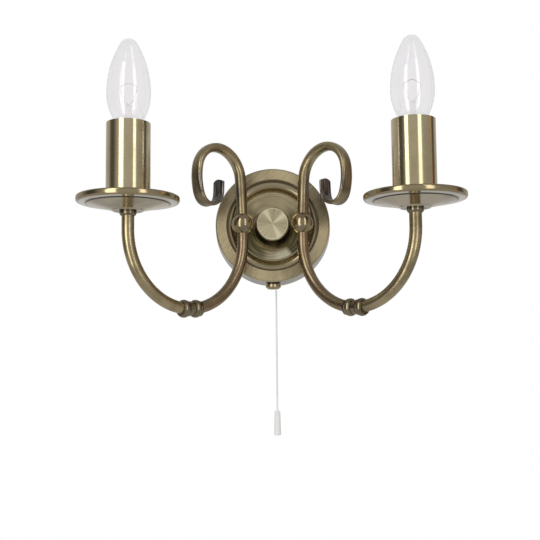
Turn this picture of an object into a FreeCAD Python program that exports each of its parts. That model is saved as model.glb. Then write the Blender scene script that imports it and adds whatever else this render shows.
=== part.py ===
"""Double arm wall sconce in antique brass, in millimetres.

The wall is the plane Y = 0 and the origin is on it, at the middle of the back plate. +Z is up and the room
is on the -Y side. Each arm lies in an upright plane through its ball, turned outwards and forwards.
"""
import FreeCAD, Part
import math
import os
import re

import Sketcher
from FreeCAD import Placement, Rotation, Vector

SIZES = {
    # Back plate: a spun shell, open towards the wall. Depths are measured forwards from the wall.
    "plate_foot_radius": 53.0,
    "plate_foot_height": 1.6,
    "plate_front_radius": 51.2,
    "plate_depth": 30.0,
    "plate_skin": 1.0,
    "plate_chamfer": 1.2,
    "ring_inner_radius": 40.8,
    "ring_lip": 0.8,
    "groove_drop": 5.4,
    "groove_width": 1.8,
    "band_crown_radius": 34.0,
    "band_crown_drop": 7.6,
    "band_curve": 7.0,
    "cove_curve": 4.0,
    "dish_radius": 31.7,
    "dish_edge_drop": 10.6,
    "dish_sag": 3.0,
    # Wall bracket, its stud and the knob that draws the plate to the wall.
    "strap_length": 92.0,
    "strap_width": 16.0,
    "strap_thickness": 2.0,
    "slot_spacing": 66.0,
    "slot_width": 5.0,
    "slot_length": 12.0,
    "stud_radius": 3.0,
    "stud_reach": 30.0,
    "thread_gap": 0.05,
    "stud_nut_flats": 10.0,
    "stud_nut_height": 5.0,
    "knob_radius": 14.6,
    "knob_face_depth": 38.0,
    "knob_head_height": 9.0,
    "knob_chamfer": 0.9,
    "knob_neck_radius": 9.0,
    "knob_bore_end": 32.0,
    "running_gap": 0.3,
    # Inside the plate: terminal block and earth screw.
    "block_length": 28.0,
    "block_height": 14.0,
    "block_depth": 11.0,
    "block_foot": 9.0,
    "block_screw_pitch": 9.0,
    "block_screw_radius": 1.9,
    "block_socket_depth": 3.0,
    "block_screw_height": 1.2,
    "earth_drop": 15.0,
    "earth_shank_radius": 2.0,
    "earth_head_radius": 3.6,
    "earth_head_height": 2.6,
    "earth_head_edge": 1.8,
    "earth_crown_radius": 2.7,
    # Pull switch at the bottom of the plate's side, its ferrule, cord and bob.
    "switch_depth": 15.0,
    "switch_width": 24.0,
    "switch_thickness": 11.0,
    "switch_height": 13.2,
    "switch_inset": 4.6,
    "switch_neck_radius": 5.0,
    "switch_neck_bore": 4.0,
    "switch_neck_length": 7.9,
    "switch_hole_reach": 2.0,
    "switch_lid": 0.9,
    "plunger_spare": 1.0,
    "lock_nut_flats": 14.0,
    "lock_nut_height": 2.6,
    "ferrule_radius": 7.0,
    "ferrule_mouth_radius": 4.8,
    "ferrule_bore": 3.7,
    "ferrule_rim": 2.4,
    "ferrule_lip": 1.4,
    "cord_aside": 2.6,
    "cord_radius": 0.75,
    "cord_hinge_below": 0.8,
    "plunger_head_radius": 2.2,
    "plunger_head_height": 1.6,
    "plunger_travel": 7.0,
    "bob_top_drop": 166.0,
    "bob_length": 21.6,
    "bob_neck_radius": 1.5,
    "bob_shoulder_radius": 2.6,
    "bob_shoulder_drop": 2.4,
    "bob_foot_radius": 3.1,
    "bob_foot_chamfer": 0.6,
    "bob_bore": 0.8,
    "bob_pocket_radius": 2.1,
    "bob_pocket_depth": 6.5,
    "knot_radius": 1.7,
    # Balls, their threaded stems and spacers.
    "ball_aside": 26.5,
    "ball_depth": 39.0,
    "ball_radius": 10.0,
    "ball_flat": 8.5,
    "ball_socket": 6.0,
    "ball_passage": 3.5,
    "ball_back_passage": 3.3,
    "stem_radius": 4.0,
    "stem_bore": 2.8,
    "stem_back_depth": 10.0,
    "stem_socket": 5.0,
    "spacer_radius": 5.0,
    "washer_radius": 7.0,
    "washer_height": 1.6,
    "washer_wedge": 2.2,
    "stem_nut_flats": 12.0,
    "stem_nut_height": 3.6,
    # Arms: round tube, half a circle in an upright plane.
    "arm_turn": 45.0,
    "tube_radius": 5.0,
    "tube_bore": 4.0,
    "arm_curve": 61.0,
    "arm_start_drop": 16.0,
    "coupling_shift": 1.4,
    "coupling_rim_radius": 6.5,
    "coupling_rim_width": 1.3,
    "coupling_bead_foot": 6.2,
    "coupling_bead_width": 6.6,
    "coupling_bead_curve": 4.8,
    "coupling_waist_radius": 5.7,
    "coupling_waist_length": 4.4,
    "tube_end_gap": 1.0,
    # Scrolls: the same tube, flattened little by little towards its tip.
    "scroll_lean": 3.4,
    "scroll_rise": 32.4,
    "scroll_first_curve": 27.2,
    "scroll_first_turn": 76.0,
    "scroll_second_curve": 23.0,
    "scroll_second_turn": 90.0,
    "scroll_third_curve": 48.0,
    "scroll_third_turn": 30.0,
    "scroll_curl": 11.0,
    "scroll_tip_lean": 3.0,
    "scroll_tip_length": 12.3,
    "scroll_tip_round": 10.0,
    "scroll_flat_start": 30.0,
    "scroll_flat_end": 150.0,
    "scroll_flat_pace": 1.3,
    "strip_thickness": 3.2,
    "strip_width": 13.5,
    "strip_squareness": 0.35,
    "crease_share": 0.2,
    "crease_depth": 0.7,
    # Drip pans and their collars.
    "collar_radius": 6.8,
    "collar_height": 3.6,
    "collar_foot_inset": 1.2,
    "collar_top_edge": 0.8,
    "collar_curve": 3.2,
    "pan_seat_height": -2.0,
    "pan_seat_radius": 12.2,
    "pan_step_radius": 13.2,
    "pan_step_rise": 1.0,
    "pan_skin": 0.9,
    "pan_cone_radius": 32.6,
    "pan_cone_rise": 4.5,
    "pan_crease_width": 0.6,
    "pan_crease_rise": 0.5,
    "pan_radius": 40.6,
    "pan_brim_rise": 0.5,
    "pan_roll_curve": 2.0,
    "pan_top_height": 9.7,
    "pan_lip": 1.6,
    # Candle fittings.
    "joint_nut_flats": 14.0,
    "joint_nut_height": 12.0,
    "arm_thread_top": 6.0,
    "holder_stem_top": 34.0,
    "holder_stem_bore": 3.2,
    "holder_foot_height": 28.0,
    "holder_radius": 12.4,
    "holder_foot_radius": 8.0,
    "holder_step_height": 34.8,
    "holder_top_height": 61.0,
    "holder_chamfer": 1.0,
    "holder_bore": 8.3,
    "shell_inset": 3.0,
    "shell_skin": 0.5,
    "cap_gap": 0.3,
    "contact_radius": 4.0,
    "contact_height": 1.4,
    "sleeve_radius": 17.5,
    "sleeve_skin": 0.8,
    "sleeve_top_height": 68.2,
    # Candle bulb with a small screw cap.
    "bulb_depth": 21.0,
    "bulb_cap_radius": 7.0,
    "bulb_cap_height": 19.0,
    "bulb_skirt_radius": 8.3,
    "bulb_skirt_height": 3.4,
    "bulb_flare_height": 1.6,
    "bulb_cap_skin": 0.6,
    "bulb_contact_radius": 3.0,
    "bulb_contact_height": 1.0,
    "bulb_thread_foot": 4.0,
    "glass_skin": 0.7,
    "glass_foot": 0.4,
    "glass_neck_radius": 7.2,
    "glass_neck_rise": 24.0,
    "glass_waist_radius": 10.8,
    "glass_waist_rise": 30.0,
    "belly_radius": 17.5,
    "belly_rise": 50.0,
    "belly_under_curve": 33.0,
    "belly_over_curve": 70.0,
    "bulb_taper": 18.0,
    "bulb_flank": 21.6,
    "mount_radius": 2.4,
    "mount_flare_radius": 6.2,
    "mount_flare_curve": 13.6,
    "mount_rise": 44.0,
    "lead_radius": 0.3,
    "lead_foot_spread": 0.6,
    "lead_shoulder_spread": 4.2,
    "lead_shoulder_rise": 3.0,
    "lead_spread": 7.0,
    "lead_bend": 3.0,
    "filament_rise": 14.0,
    "filament_bow": 4.0,
    "filament_bend": 1.2,
    # Wiring.
    "flex_radius": 1.6,
    "flex_turn": 6.0,
    "flex_corner": 4.5,
    "flex_bend_depth": 5.2,
    "flex_step": 2.0,
    "flex_inset": 1.3,
    "flex_block_height": 16.0,
    "link_radius": 1.2,
    "link_aside": 10.0,
    "link_inset": 3.0,
    "link_drop": 27.0,
    "link_bend": 9.0,
}

doc = FreeCAD.newDocument("wall_sconce")
sheet = doc.addObject("Spreadsheet::Sheet", "sizes")
for row, (alias, number) in enumerate(SIZES.items(), 1):
    sheet.set("A%d" % row, alias)
    sheet.set("B%d" % row, str(number))
    sheet.setAlias("B%d" % row, alias)
doc.recompute()

SIDES = ((-1, "left"), (1, "right"))
UP = Vector(0, 0, 1)
FORWARDS = Rotation(Vector(1, 0, 0), 90)      # turns a piece's own +Z to the room
ALONG = Rotation(Vector(0, 1, 0), 90)         # turns a piece's own +Z to its own +X
DOWNWARDS = Rotation(Vector(1, 0, 0), 180)
parts = []


# ---- Named sizes in formulas ----

def cells(formula):
    """The formula with each named size pointed at its cell in the sheet."""
    def cell(word):
        return "sizes." + word.group() if word.group() in SIZES else word.group()

    return re.sub(r"[a-z_]+", cell, formula)


def value(formula):
    """The number that a formula of named sizes comes to."""
    found = sheet.evalExpression(cells(formula))
    return float(getattr(found, "Value", found))


def keep(piece):
    """Puts a finished piece on the list of what is written; its label names its file."""
    parts.append(piece)


# ---- Sketches and features ----

def new_sketch(body, label, role):
    """An empty sketch on one of the body's own origin planes."""
    sketch = body.newObject("Sketcher::SketchObject", label)
    plane = [feature for feature in body.Origin.OriginFeatures if feature.Role == role][0]
    sketch.AttachmentSupport = (plane, [""])
    sketch.MapMode = "FlatFace"
    return sketch


def pin(sketch, geometry, end, corner):
    """Fixes one end of a line or an arc at its across and up formulas."""
    for kind, axis, formula in (("DistanceX", -2, corner[0]), ("DistanceY", -1, corner[1])):
        if formula == "0":
            sketch.addConstraint(Sketcher.Constraint("PointOnObject", geometry, end, axis))
            continue
        number = sketch.addConstraint(Sketcher.Constraint(kind, -1, 1, geometry, end, value(formula)))
        sketch.setExpression("Constraints[%d]" % number, cells(formula))


def draw(sketch, corners, closed=True):
    """Joins corners by lines and arcs.

    A corner is (across, up), or (across, up, side, radius) where an arc leads on from it. The arc swells to the
    right of the way that the outline runs where side is 1, and to its left where side is -1.
    """
    places = [Vector(value(corner[0]), value(corner[1]), 0) for corner in corners]
    count = len(corners)
    spans = []
    for index in range(count if closed else count - 1):
        start = places[index]
        finish = places[(index + 1) % count]
        if len(corners[index]) == 2:
            line = sketch.addGeometry(Part.LineSegment(start, finish))
            spans.append((line, 1, 2))
            continue
        side, formula = corners[index][2:]
        radius = value(formula)
        chord = finish - start
        middle = (start + finish) * 0.5
        to_centre = math.sqrt(radius ** 2 - (chord.Length / 2) ** 2)
        centre = middle + Vector(-chord.y, chord.x, 0).normalize() * to_centre * side
        turns = [math.atan2(place.y - centre.y, place.x - centre.x) for place in (start, finish)]
        circle = Part.Circle(centre, UP, radius)
        arc = sketch.addGeometry(Part.ArcOfCircle(circle, *(turns if side > 0 else turns[::-1])))
        spans.append((arc, 1, 2) if side > 0 else (arc, 2, 1))
        number = sketch.addConstraint(Sketcher.Constraint("Radius", arc, radius))
        sketch.setExpression("Constraints[%d]" % number, cells(formula))
    for index, (geometry, start_end, finish_end) in enumerate(spans):
        pin(sketch, geometry, start_end, corners[index])
        if closed or index + 1 < len(spans):
            following, following_start, _ = spans[(index + 1) % len(spans)]
            sketch.addConstraint(
                Sketcher.Constraint("Coincident", geometry, finish_end, following, following_start))
        else:
            pin(sketch, geometry, finish_end, corners[-1])


def draw_circle(sketch, formula):
    """A circle round the sketch's own origin."""
    circle = sketch.addGeometry(Part.Circle(Vector(), UP, value(formula)))
    sketch.addConstraint(Sketcher.Constraint("Coincident", circle, 3, -1, 1))
    number = sketch.addConstraint(Sketcher.Constraint("Radius", circle, value(formula)))
    sketch.setExpression("Constraints[%d]" % number, cells(formula))


def turned(label, corners, placement=Placement()):
    """A turned or spun piece: its outline revolved about its own Z axis."""
    body = doc.addObject("PartDesign::Body", label)
    sketch = new_sketch(body, label + "_outline", "XZ_Plane")
    draw(sketch, corners)
    revolution = body.newObject("PartDesign::Revolution", label + "_revolution")
    revolution.Profile = sketch
    revolution.ReferenceAxis = (sketch, ["V_Axis"])
    revolution.Angle = 360
    body.Placement = placement
    return body


def bent_tube(label, run, start, outer, bore, placement):
    """A round tube along a run in the body's XZ plane that starts upright at its first point."""
    body = doc.addObject("PartDesign::Body", label)
    path = new_sketch(body, label + "_path", "XZ_Plane")
    draw(path, run, closed=False)
    ring = new_sketch(body, label + "_section", "XY_Plane")
    ring.setExpression("AttachmentOffset.Base.x", cells(start[0]))
    ring.setExpression("AttachmentOffset.Base.z", cells(start[1]))
    draw_circle(ring, outer)
    draw_circle(ring, bore)
    doc.recompute()
    pipe = body.newObject("PartDesign::AdditivePipe", label + "_pipe")
    pipe.Profile = ring
    pipe.Spine = path
    body.Placement = placement
    return body


def rod(label, radius, length, placement):
    """A plain cylinder along its own Z axis."""
    cylinder = doc.addObject("Part::Cylinder", label)
    cylinder.setExpression("Radius", cells(radius))
    cylinder.setExpression("Height", cells(length))
    cylinder.Placement = placement
    return cylinder


def block(label, across, deep, tall, placement):
    """A plain box with a corner at its own origin."""
    box = doc.addObject("Part::Box", label)
    box.setExpression("Length", cells(across))
    box.setExpression("Width", cells(deep))
    box.setExpression("Height", cells(tall))
    box.Placement = placement
    return box


def ball(label, radius, place):
    """A plain sphere."""
    sphere = doc.addObject("Part::Sphere", label)
    sphere.setExpression("Radius", cells(radius))
    sphere.Placement = Placement(place, Rotation())
    return sphere


def joined(label, pieces):
    """One solid out of several that meet."""
    fuse = doc.addObject("Part::MultiFuse", label)
    fuse.Shapes = pieces
    return fuse


def group(label, pieces):
    """Separate solids that share a node."""
    compound = doc.addObject("Part::Compound", label)
    compound.Links = pieces
    return compound


def less(label, base, tools):
    """The base with its tools cut away."""
    cut = doc.addObject("Part::Cut", label)
    cut.Base = base
    cut.Tool = tools[0] if len(tools) == 1 else joined(label + "_tools", tools)
    return cut


def hex_nut(label, flats, height, bore, placement):
    """A plain hexagon nut that stands on its own XY plane."""
    prism = doc.addObject("Part::Prism", label + "_blank")
    prism.Polygon = 6
    prism.setExpression("Circumradius", cells("%s / (2 * cos(30 deg))" % flats))
    prism.setExpression("Height", cells(height))
    prism.Placement = placement
    return less(label, prism, [rod(label + "_bore", bore, height, placement)])


def routed_tube(points, bends, radius):
    """A round tube along straight runs that tangent arcs join, one bend radius for each inner point."""
    edges = []
    last = points[0]
    for before, corner, after, bend in zip(points, points[1:], points[2:], bends):
        back = (before - corner).normalize()
        on = (after - corner).normalize()
        half_turn = (math.pi - back.getAngle(on)) / 2
        reach = bend * math.tan(half_turn)
        start = corner + back * reach
        finish = corner + on * reach
        inwards = (back + on).normalize()
        middle = corner + inwards * (bend / math.cos(half_turn) - bend)
        if (start - last).Length > 0.001:
            edges.append(Part.LineSegment(last, start).toShape())
        edges.append(Part.Arc(start, middle, finish).toShape())
        last = finish
    edges.append(Part.LineSegment(last, points[-1]).toShape())
    spine = Part.Wire(edges)
    section = Part.Wire(Part.Circle(points[0], points[1] - points[0], radius).toShape())
    shape = spine.makePipeShell([section], True, False)
    expected = math.pi * radius ** 2 * spine.Length
    if abs(shape.Volume - expected) > 0.01 * expected:
        raise ValueError("a routed tube's volume isn't its section times its length")
    return shape


def in_code(label, shape):
    """A piece whose form follows from the sheet's sizes in code."""
    feature = doc.addObject("Part::Feature", label)
    feature.Shape = shape
    return feature


# ---- Places ----

def from_wall(across, depth, height, rotation=FORWARDS):
    """A place by its distance in front of the wall; its own +Z looks to the room unless it is turned."""
    return Placement(Vector(across, -depth, height), rotation)


def on_arm(side, out, height, rotation=Rotation()):
    """A place in an arm's upright plane, out from the ball's axis; its own +X points out along the arm."""
    turn = -value("arm_turn") if side > 0 else value("arm_turn") - 180
    frame = Placement(Vector(side * value("ball_aside"), -value("ball_depth"), 0), Rotation(UP, turn))
    return frame.multiply(Placement(Vector(out, 0, height), rotation))


# ---- Back plate ----

BOWL = "((dish_radius ^ 2 + dish_sag ^ 2) / (2 * dish_sag))"
DISH_EDGE = "(plate_depth - dish_edge_drop)"
BOWL_CENTRE = "(%s - dish_sag + %s)" % (DISH_EDGE, BOWL)
STUD_HOLE = "(stud_radius + running_gap)"


def bowl_depth(radius, behind="0"):
    """The bowl's distance from the wall at a radius, on its face or a skin's thickness behind it."""
    return "(%s - sqrt((%s + %s) ^ 2 - (%s) ^ 2))" % (BOWL_CENTRE, BOWL, behind, radius)


def side_radius(depth):
    """The radius of the plate's tapered side at a depth."""
    taper = "(plate_foot_radius - plate_front_radius) / (plate_depth - plate_chamfer - plate_foot_height)"
    return "(plate_foot_radius - (%s - plate_foot_height) * %s)" % (depth, taper)


SWITCH_FLOOR = "(%s - switch_inset)" % side_radius("switch_depth")
NECK_END = "(%s + switch_neck_length)" % SWITCH_FLOOR
FERRULE_END = "(%s + ferrule_lip)" % NECK_END
HINGE_DROP = "(%s + cord_hinge_below)" % FERRULE_END


def make_back_plate():
    """Flat brushed ring, dark groove, moulded band and a shallow bowl, all in one skin."""
    groove = "plate_depth - groove_drop"
    crown = "plate_depth - band_crown_drop"
    corners = [
        ("plate_foot_radius", "0"),
        ("plate_foot_radius", "plate_foot_height"),
        ("plate_front_radius", "plate_depth - plate_chamfer"),
        ("plate_front_radius - plate_chamfer", "plate_depth"),
        ("ring_inner_radius + ring_lip", "plate_depth"),
        ("ring_inner_radius", "plate_depth - ring_lip"),
        ("ring_inner_radius", groove),
        ("ring_inner_radius - groove_width", groove, 1, "band_curve"),
        ("band_crown_radius", crown, -1, "cove_curve"),
        ("dish_radius", DISH_EDGE, -1, BOWL),
        (STUD_HOLE, bowl_depth(STUD_HOLE)),
        (STUD_HOLE, bowl_depth(STUD_HOLE, "plate_skin"), 1, "%s + plate_skin" % BOWL),
        ("dish_radius", bowl_depth("dish_radius", "plate_skin")),
        ("band_crown_radius + plate_skin / 2", crown + " - plate_skin"),
        ("ring_inner_radius - groove_width", groove + " - plate_skin"),
        ("ring_inner_radius + plate_skin", groove + " - plate_skin"),
        ("ring_inner_radius + plate_skin", "plate_depth - plate_skin"),
        ("plate_front_radius - plate_chamfer - plate_skin / 2", "plate_depth - plate_skin"),
        ("plate_front_radius - plate_skin", "plate_depth - plate_chamfer - plate_skin / 2"),
        ("plate_foot_radius - plate_skin", "plate_foot_height"),
        ("plate_foot_radius - plate_skin", "0"),
    ]
    shell = turned("plate_shell", corners, from_wall(0, 0, 0))
    holes = [rod("stem_hole_" + word, "stem_radius + thread_gap", "plate_depth",
                 from_wall(side * value("ball_aside"), 0, 0)) for side, word in SIDES]
    through_side = "plate_foot_radius - %s + switch_hole_reach" % SWITCH_FLOOR
    holes.append(rod("switch_hole", "switch_neck_radius + thread_gap", through_side,
                     from_wall(0, value("switch_depth"), -value(SWITCH_FLOOR), DOWNWARDS)))
    keep(less("back_plate", shell, holes))


# ---- Wall bracket, stud and knob ----

def make_bracket():
    """A steel strap with a slot near each end; its stud stands out of its middle."""
    deep = value("strap_thickness")
    strap = block("strap_blank", "strap_width", "strap_thickness", "strap_length",
                  Placement(Vector(-value("strap_width / 2"), -deep, -value("strap_length / 2")), Rotation()))
    tools = [rod("stud_tapping", "stud_radius + thread_gap", "strap_thickness", from_wall(0, 0, 0)),
             rod("earth_tapping", "earth_shank_radius + thread_gap", "strap_thickness",
                 from_wall(0, 0, -value("earth_drop")))]
    straight = value("(slot_length - slot_width) / 2")
    for end, word in ((-1, "low"), (1, "high")):
        middle = end * value("slot_spacing / 2")
        tools.append(block("slot_" + word, "slot_width", "strap_thickness", "slot_length - slot_width",
                           Placement(Vector(-value("slot_width / 2"), -deep, middle - straight), Rotation())))
        for tip, name in ((-1, "foot"), (1, "head")):
            tools.append(rod("slot_%s_%s" % (word, name), "slot_width / 2", "strap_thickness",
                             from_wall(0, 0, middle + tip * straight)))
    keep(less("wall_bracket", strap, tools))
    keep(rod("bracket_stud", "stud_radius", "stud_reach", from_wall(0, 0, 0)))
    keep(hex_nut("stud_nut", "stud_nut_flats", "stud_nut_height", "stud_radius + thread_gap",
                 from_wall(0, value("strap_thickness"), 0)))
    keep(turned("earth_screw", [
        ("0", "0"),
        ("earth_shank_radius", "0"),
        ("earth_shank_radius", "strap_thickness"),
        ("earth_head_radius", "strap_thickness"),
        ("earth_head_radius", "strap_thickness + earth_head_edge"),
        ("earth_crown_radius", "strap_thickness + earth_head_height"),
        ("0", "strap_thickness + earth_head_height"),
    ], from_wall(0, 0, -value("earth_drop"))))


def make_knob():
    """The round cap nut in the middle: a broad head on a neck, with a blind threaded hole for the stud."""
    foot = bowl_depth("knob_neck_radius") + " + running_gap"
    keep(turned("centre_knob", [
        ("stud_radius + thread_gap", foot),
        ("knob_neck_radius", foot),
        ("knob_neck_radius", "knob_face_depth - knob_head_height"),
        ("knob_radius - knob_chamfer / 2", "knob_face_depth - knob_head_height"),
        ("knob_radius", "knob_face_depth - knob_head_height + knob_chamfer / 2"),
        ("knob_radius", "knob_face_depth - knob_chamfer"),
        ("knob_radius - knob_chamfer", "knob_face_depth"),
        ("0", "knob_face_depth"),
        ("0", "knob_bore_end"),
        ("stud_radius + thread_gap", "knob_bore_end"),
    ], from_wall(0, 0, 0)))


# ---- Inside the plate ----

def make_terminal_block():
    """A three way block on the strap, with a clamp screw over each way."""
    height = value("block_foot + block_height / 2")
    depth = value("strap_thickness")
    corner = Vector(-value("block_length / 2"), -depth - value("block_depth"), value("block_foot"))
    body = block("block_blank", "block_length", "block_depth", "block_height", Placement(corner, Rotation()))
    front = value("strap_thickness + block_depth - block_socket_depth")
    places = [from_wall(way * value("block_screw_pitch"), front, height) for way in (-1, 0, 1)]
    sockets = [rod("block_socket_%d" % way, "block_screw_radius", "block_socket_depth", place)
               for way, place in enumerate(places)]
    keep(less("terminal_block", body, sockets))
    screws = [rod("block_screw_%d" % way, "block_screw_radius - thread_gap", "block_screw_height", place)
              for way, place in enumerate(places)]
    keep(group("terminal_screws", screws))


def make_switch():
    """The pull switch: housing with a threaded neck through the plate's side, lock nut, ferrule and plunger."""
    depth = value("switch_depth")
    floor = -value(SWITCH_FLOOR)
    aside = value("cord_aside")
    housing = block("switch_box", "switch_width", "switch_thickness", "switch_height",
                    Placement(Vector(-value("switch_width / 2"), -depth - value("switch_thickness / 2"), floor),
                              Rotation()))
    below = from_wall(0, depth, floor, DOWNWARDS)
    neck = rod("switch_neck", "switch_neck_radius", "switch_neck_length", below)
    bore = rod("switch_bore", "switch_neck_bore", "switch_neck_length", below)
    chamber_top = floor + value("switch_height - switch_lid")
    chamber = rod("plunger_chamber", "plunger_head_radius + running_gap",
                  "plunger_travel + plunger_head_height + plunger_spare",
                  from_wall(aside, depth, chamber_top, DOWNWARDS))
    guide = rod("plunger_guide", "cord_radius + running_gap", "switch_height",
                from_wall(aside, depth, chamber_top, DOWNWARDS))
    keep(less("switch_housing", joined("switch_solid", [housing, neck]), [bore, chamber, guide]))
    keep(hex_nut("switch_lock_nut", "lock_nut_flats", "lock_nut_height", "switch_neck_radius + thread_gap",
                 below))
    seat = side_radius("(switch_depth - ferrule_radius)")
    keep(turned("switch_ferrule", [
        ("switch_neck_radius + thread_gap", seat),
        ("ferrule_radius", seat),
        ("ferrule_radius", seat + " + ferrule_rim"),
        ("ferrule_mouth_radius", FERRULE_END),
        ("ferrule_bore", FERRULE_END),
        ("ferrule_bore", NECK_END),
        ("switch_neck_radius + thread_gap", NECK_END),
    ], from_wall(0, depth, 0, DOWNWARDS)))
    head_top = chamber_top - value("running_gap")
    head = rod("plunger_head", "plunger_head_radius", "plunger_head_height",
               from_wall(aside, depth, head_top, DOWNWARDS))
    stem_length = head_top + value(HINGE_DROP + " - running_gap")
    stem = doc.addObject("Part::Cylinder", "plunger_stem")
    stem.setExpression("Radius", cells("cord_radius"))
    stem.Height = stem_length
    stem.Placement = from_wall(aside, depth, head_top, DOWNWARDS)
    keep(joined("switch_plunger", [head, stem]))


def make_cord():
    """The pull cord hangs straight down to a bob, and is knotted inside the bob's foot."""
    aside = value("cord_aside")
    depth = value("switch_depth")
    cord_top = HINGE_DROP + " + running_gap"
    knot_top = "bob_top_drop + bob_length - bob_pocket_depth"
    run = "%s - (%s)" % (knot_top, cord_top)
    keep(rod("pull_cord", "cord_radius", run, from_wall(aside, depth, -value(cord_top), DOWNWARDS)))
    print("pull cord: straight, length %.1f, volume %.1f" %
          (value(run), value(run) * math.pi * value("cord_radius") ** 2))
    keep(turned("cord_bob", [
        ("bob_bore", "bob_top_drop"),
        ("bob_neck_radius", "bob_top_drop", 1, "bob_shoulder_drop"),
        ("bob_shoulder_radius", "bob_top_drop + bob_shoulder_drop"),
        ("bob_foot_radius", "bob_top_drop + bob_length - bob_foot_chamfer"),
        ("bob_foot_radius - bob_foot_chamfer", "bob_top_drop + bob_length"),
        ("bob_pocket_radius", "bob_top_drop + bob_length"),
        ("bob_pocket_radius", knot_top),
        ("bob_bore", knot_top),
    ], Placement(Vector(aside, -depth, 0), DOWNWARDS)))
    keep(turned("cord_knot", [
        ("0", knot_top),
        ("cord_radius", knot_top, 1, "knot_radius"),
        ("knot_radius", knot_top + " + knot_radius", 1, "knot_radius"),
        ("0", knot_top + " + knot_radius * 2"),
    ], Placement(Vector(aside, -depth, 0), DOWNWARDS)))


# ---- Balls and their stems ----

def make_ball(side, word):
    """A ball with a socket for the scroll above, one for the arm below and one for its stem behind."""
    centre = Vector(side * value("ball_aside"), -value("ball_depth"), 0)
    behind = Rotation(Vector(1, 0, 0), -90)
    tools = [
        rod("scroll_socket_" + word, "tube_radius + thread_gap", "ball_radius",
            on_arm(side, 0, 0, Rotation(Vector(0, 1, 0), value("scroll_lean"))).multiply(
                Placement(Vector(0, 0, value("ball_socket")), Rotation()))),
        rod("arm_socket_" + word, "tube_radius + thread_gap", "ball_radius",
            Placement(centre - UP * value("ball_socket"), DOWNWARDS)),
        rod("stem_socket_" + word, "stem_radius + thread_gap", "ball_radius",
            Placement(centre + Vector(0, value("stem_socket"), 0), behind)),
        rod("flat_" + word, "ball_radius", "ball_radius",
            Placement(centre + Vector(0, value("ball_flat"), 0), behind)),
        rod("drop_passage_" + word, "ball_passage", "ball_radius + ball_passage",
            Placement(centre + UP * value("ball_passage"), DOWNWARDS)),
        rod("back_passage_" + word, "ball_back_passage", "ball_radius", Placement(centre, behind)),
    ]
    keep(less("ball_" + word, ball("ball_blank_" + word, "ball_radius", centre), tools))


def make_stem(side, word):
    """A hollow threaded stem and the spacer between the ball and the bowl."""
    across = side * value("ball_aside")
    keep(turned("stem_" + word, [
        ("stem_bore", "stem_back_depth"),
        ("stem_radius", "stem_back_depth"),
        ("stem_radius", "ball_depth - stem_socket"),
        ("stem_bore", "ball_depth - stem_socket"),
    ], from_wall(across, 0, 0)))
    tube = turned("spacer_tube_" + word, [
        ("stem_radius + thread_gap", "stem_back_depth"),
        ("spacer_radius", "stem_back_depth"),
        ("spacer_radius", "ball_depth - ball_flat"),
        ("stem_radius + thread_gap", "ball_depth - ball_flat"),
    ], from_wall(across, 0, 0))
    spacer = doc.addObject("Part::Common", "spacer_" + word)
    spacer.Base = tube
    spacer.Tool = ball("bowl_face_" + word, BOWL + " - thread_gap", Vector(0, -value(BOWL_CENTRE), 0))
    keep(spacer)


def make_stem_fixings():
    """A dished washer and a nut hold each stem behind the bowl."""
    washers = []
    nuts = []
    seat = value(bowl_depth("ball_aside - washer_radius", "plate_skin + thread_gap"))
    for side, word in SIDES:
        across = side * value("ball_aside")
        blank = rod("washer_blank_" + word, "washer_radius", "washer_height + washer_wedge",
                    from_wall(across, seat - value("washer_height"), 0))
        bowl_middle = Vector(0, -value(BOWL_CENTRE), 0)
        tools = [rod("washer_hole_" + word, "stem_radius + thread_gap", "plate_depth", from_wall(across, 0, 0)),
                 ball("bowl_back_" + word, BOWL + " + plate_skin + thread_gap", bowl_middle)]
        washers.append(less("washer_" + word, blank, tools))
        nuts.append(hex_nut("stem_nut_" + word, "stem_nut_flats", "stem_nut_height", "stem_radius + thread_gap",
                            from_wall(across, seat - value("washer_height + stem_nut_height"), 0)))
    keep(group("stem_washers", washers))
    keep(group("stem_nuts", nuts))


# ---- Scrolls ----

SECTION_POINTS = 12         # control points round each section
SECTION_STEP = 6.5          # the farthest that two sections stand apart


def scroll_runs():
    """The scroll's centre line as (length, curve radius or None) stretches, from the ball to the tip."""
    last_turn = value("360 - scroll_lean - scroll_first_turn - scroll_second_turn - scroll_third_turn"
                      " - scroll_tip_lean")
    turns = [(value("scroll_first_curve"), value("scroll_first_turn")),
             (value("scroll_second_curve"), value("scroll_second_turn")),
             (value("scroll_third_curve"), value("scroll_third_turn")),
             (value("scroll_curl"), last_turn)]
    runs = [(value("scroll_rise"), None)]
    runs += [(radius * math.radians(turn), radius) for radius, turn in turns]
    runs.append((value("scroll_tip_length"), None))
    return runs


def along_scroll(distance):
    """The place (out, up) and the heading of the centre line at a distance from its foot in the ball."""
    heading = math.radians(90 - value("scroll_lean"))
    out = math.cos(heading) * value("ball_socket")
    up = math.sin(heading) * value("ball_socket")
    for length, radius in scroll_runs():
        step = min(distance, length)
        if radius is None:
            out += step * math.cos(heading)
            up += step * math.sin(heading)
        else:
            turned_by = step / radius
            out += radius * (math.sin(heading) - math.sin(heading - turned_by))
            up += radius * (math.cos(heading - turned_by) - math.cos(heading))
            heading -= turned_by
        distance -= step
        if distance <= 0:
            break
    return out, up, heading


def scroll_stations():
    """Distances from the foot of the scroll at which its section is set."""
    stations = [0.0]
    for length, _ in scroll_runs():
        count = math.ceil(length / SECTION_STEP)
        stations += [stations[-1] + length * step / count for step in range(1, count + 1)]
    return stations


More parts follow.
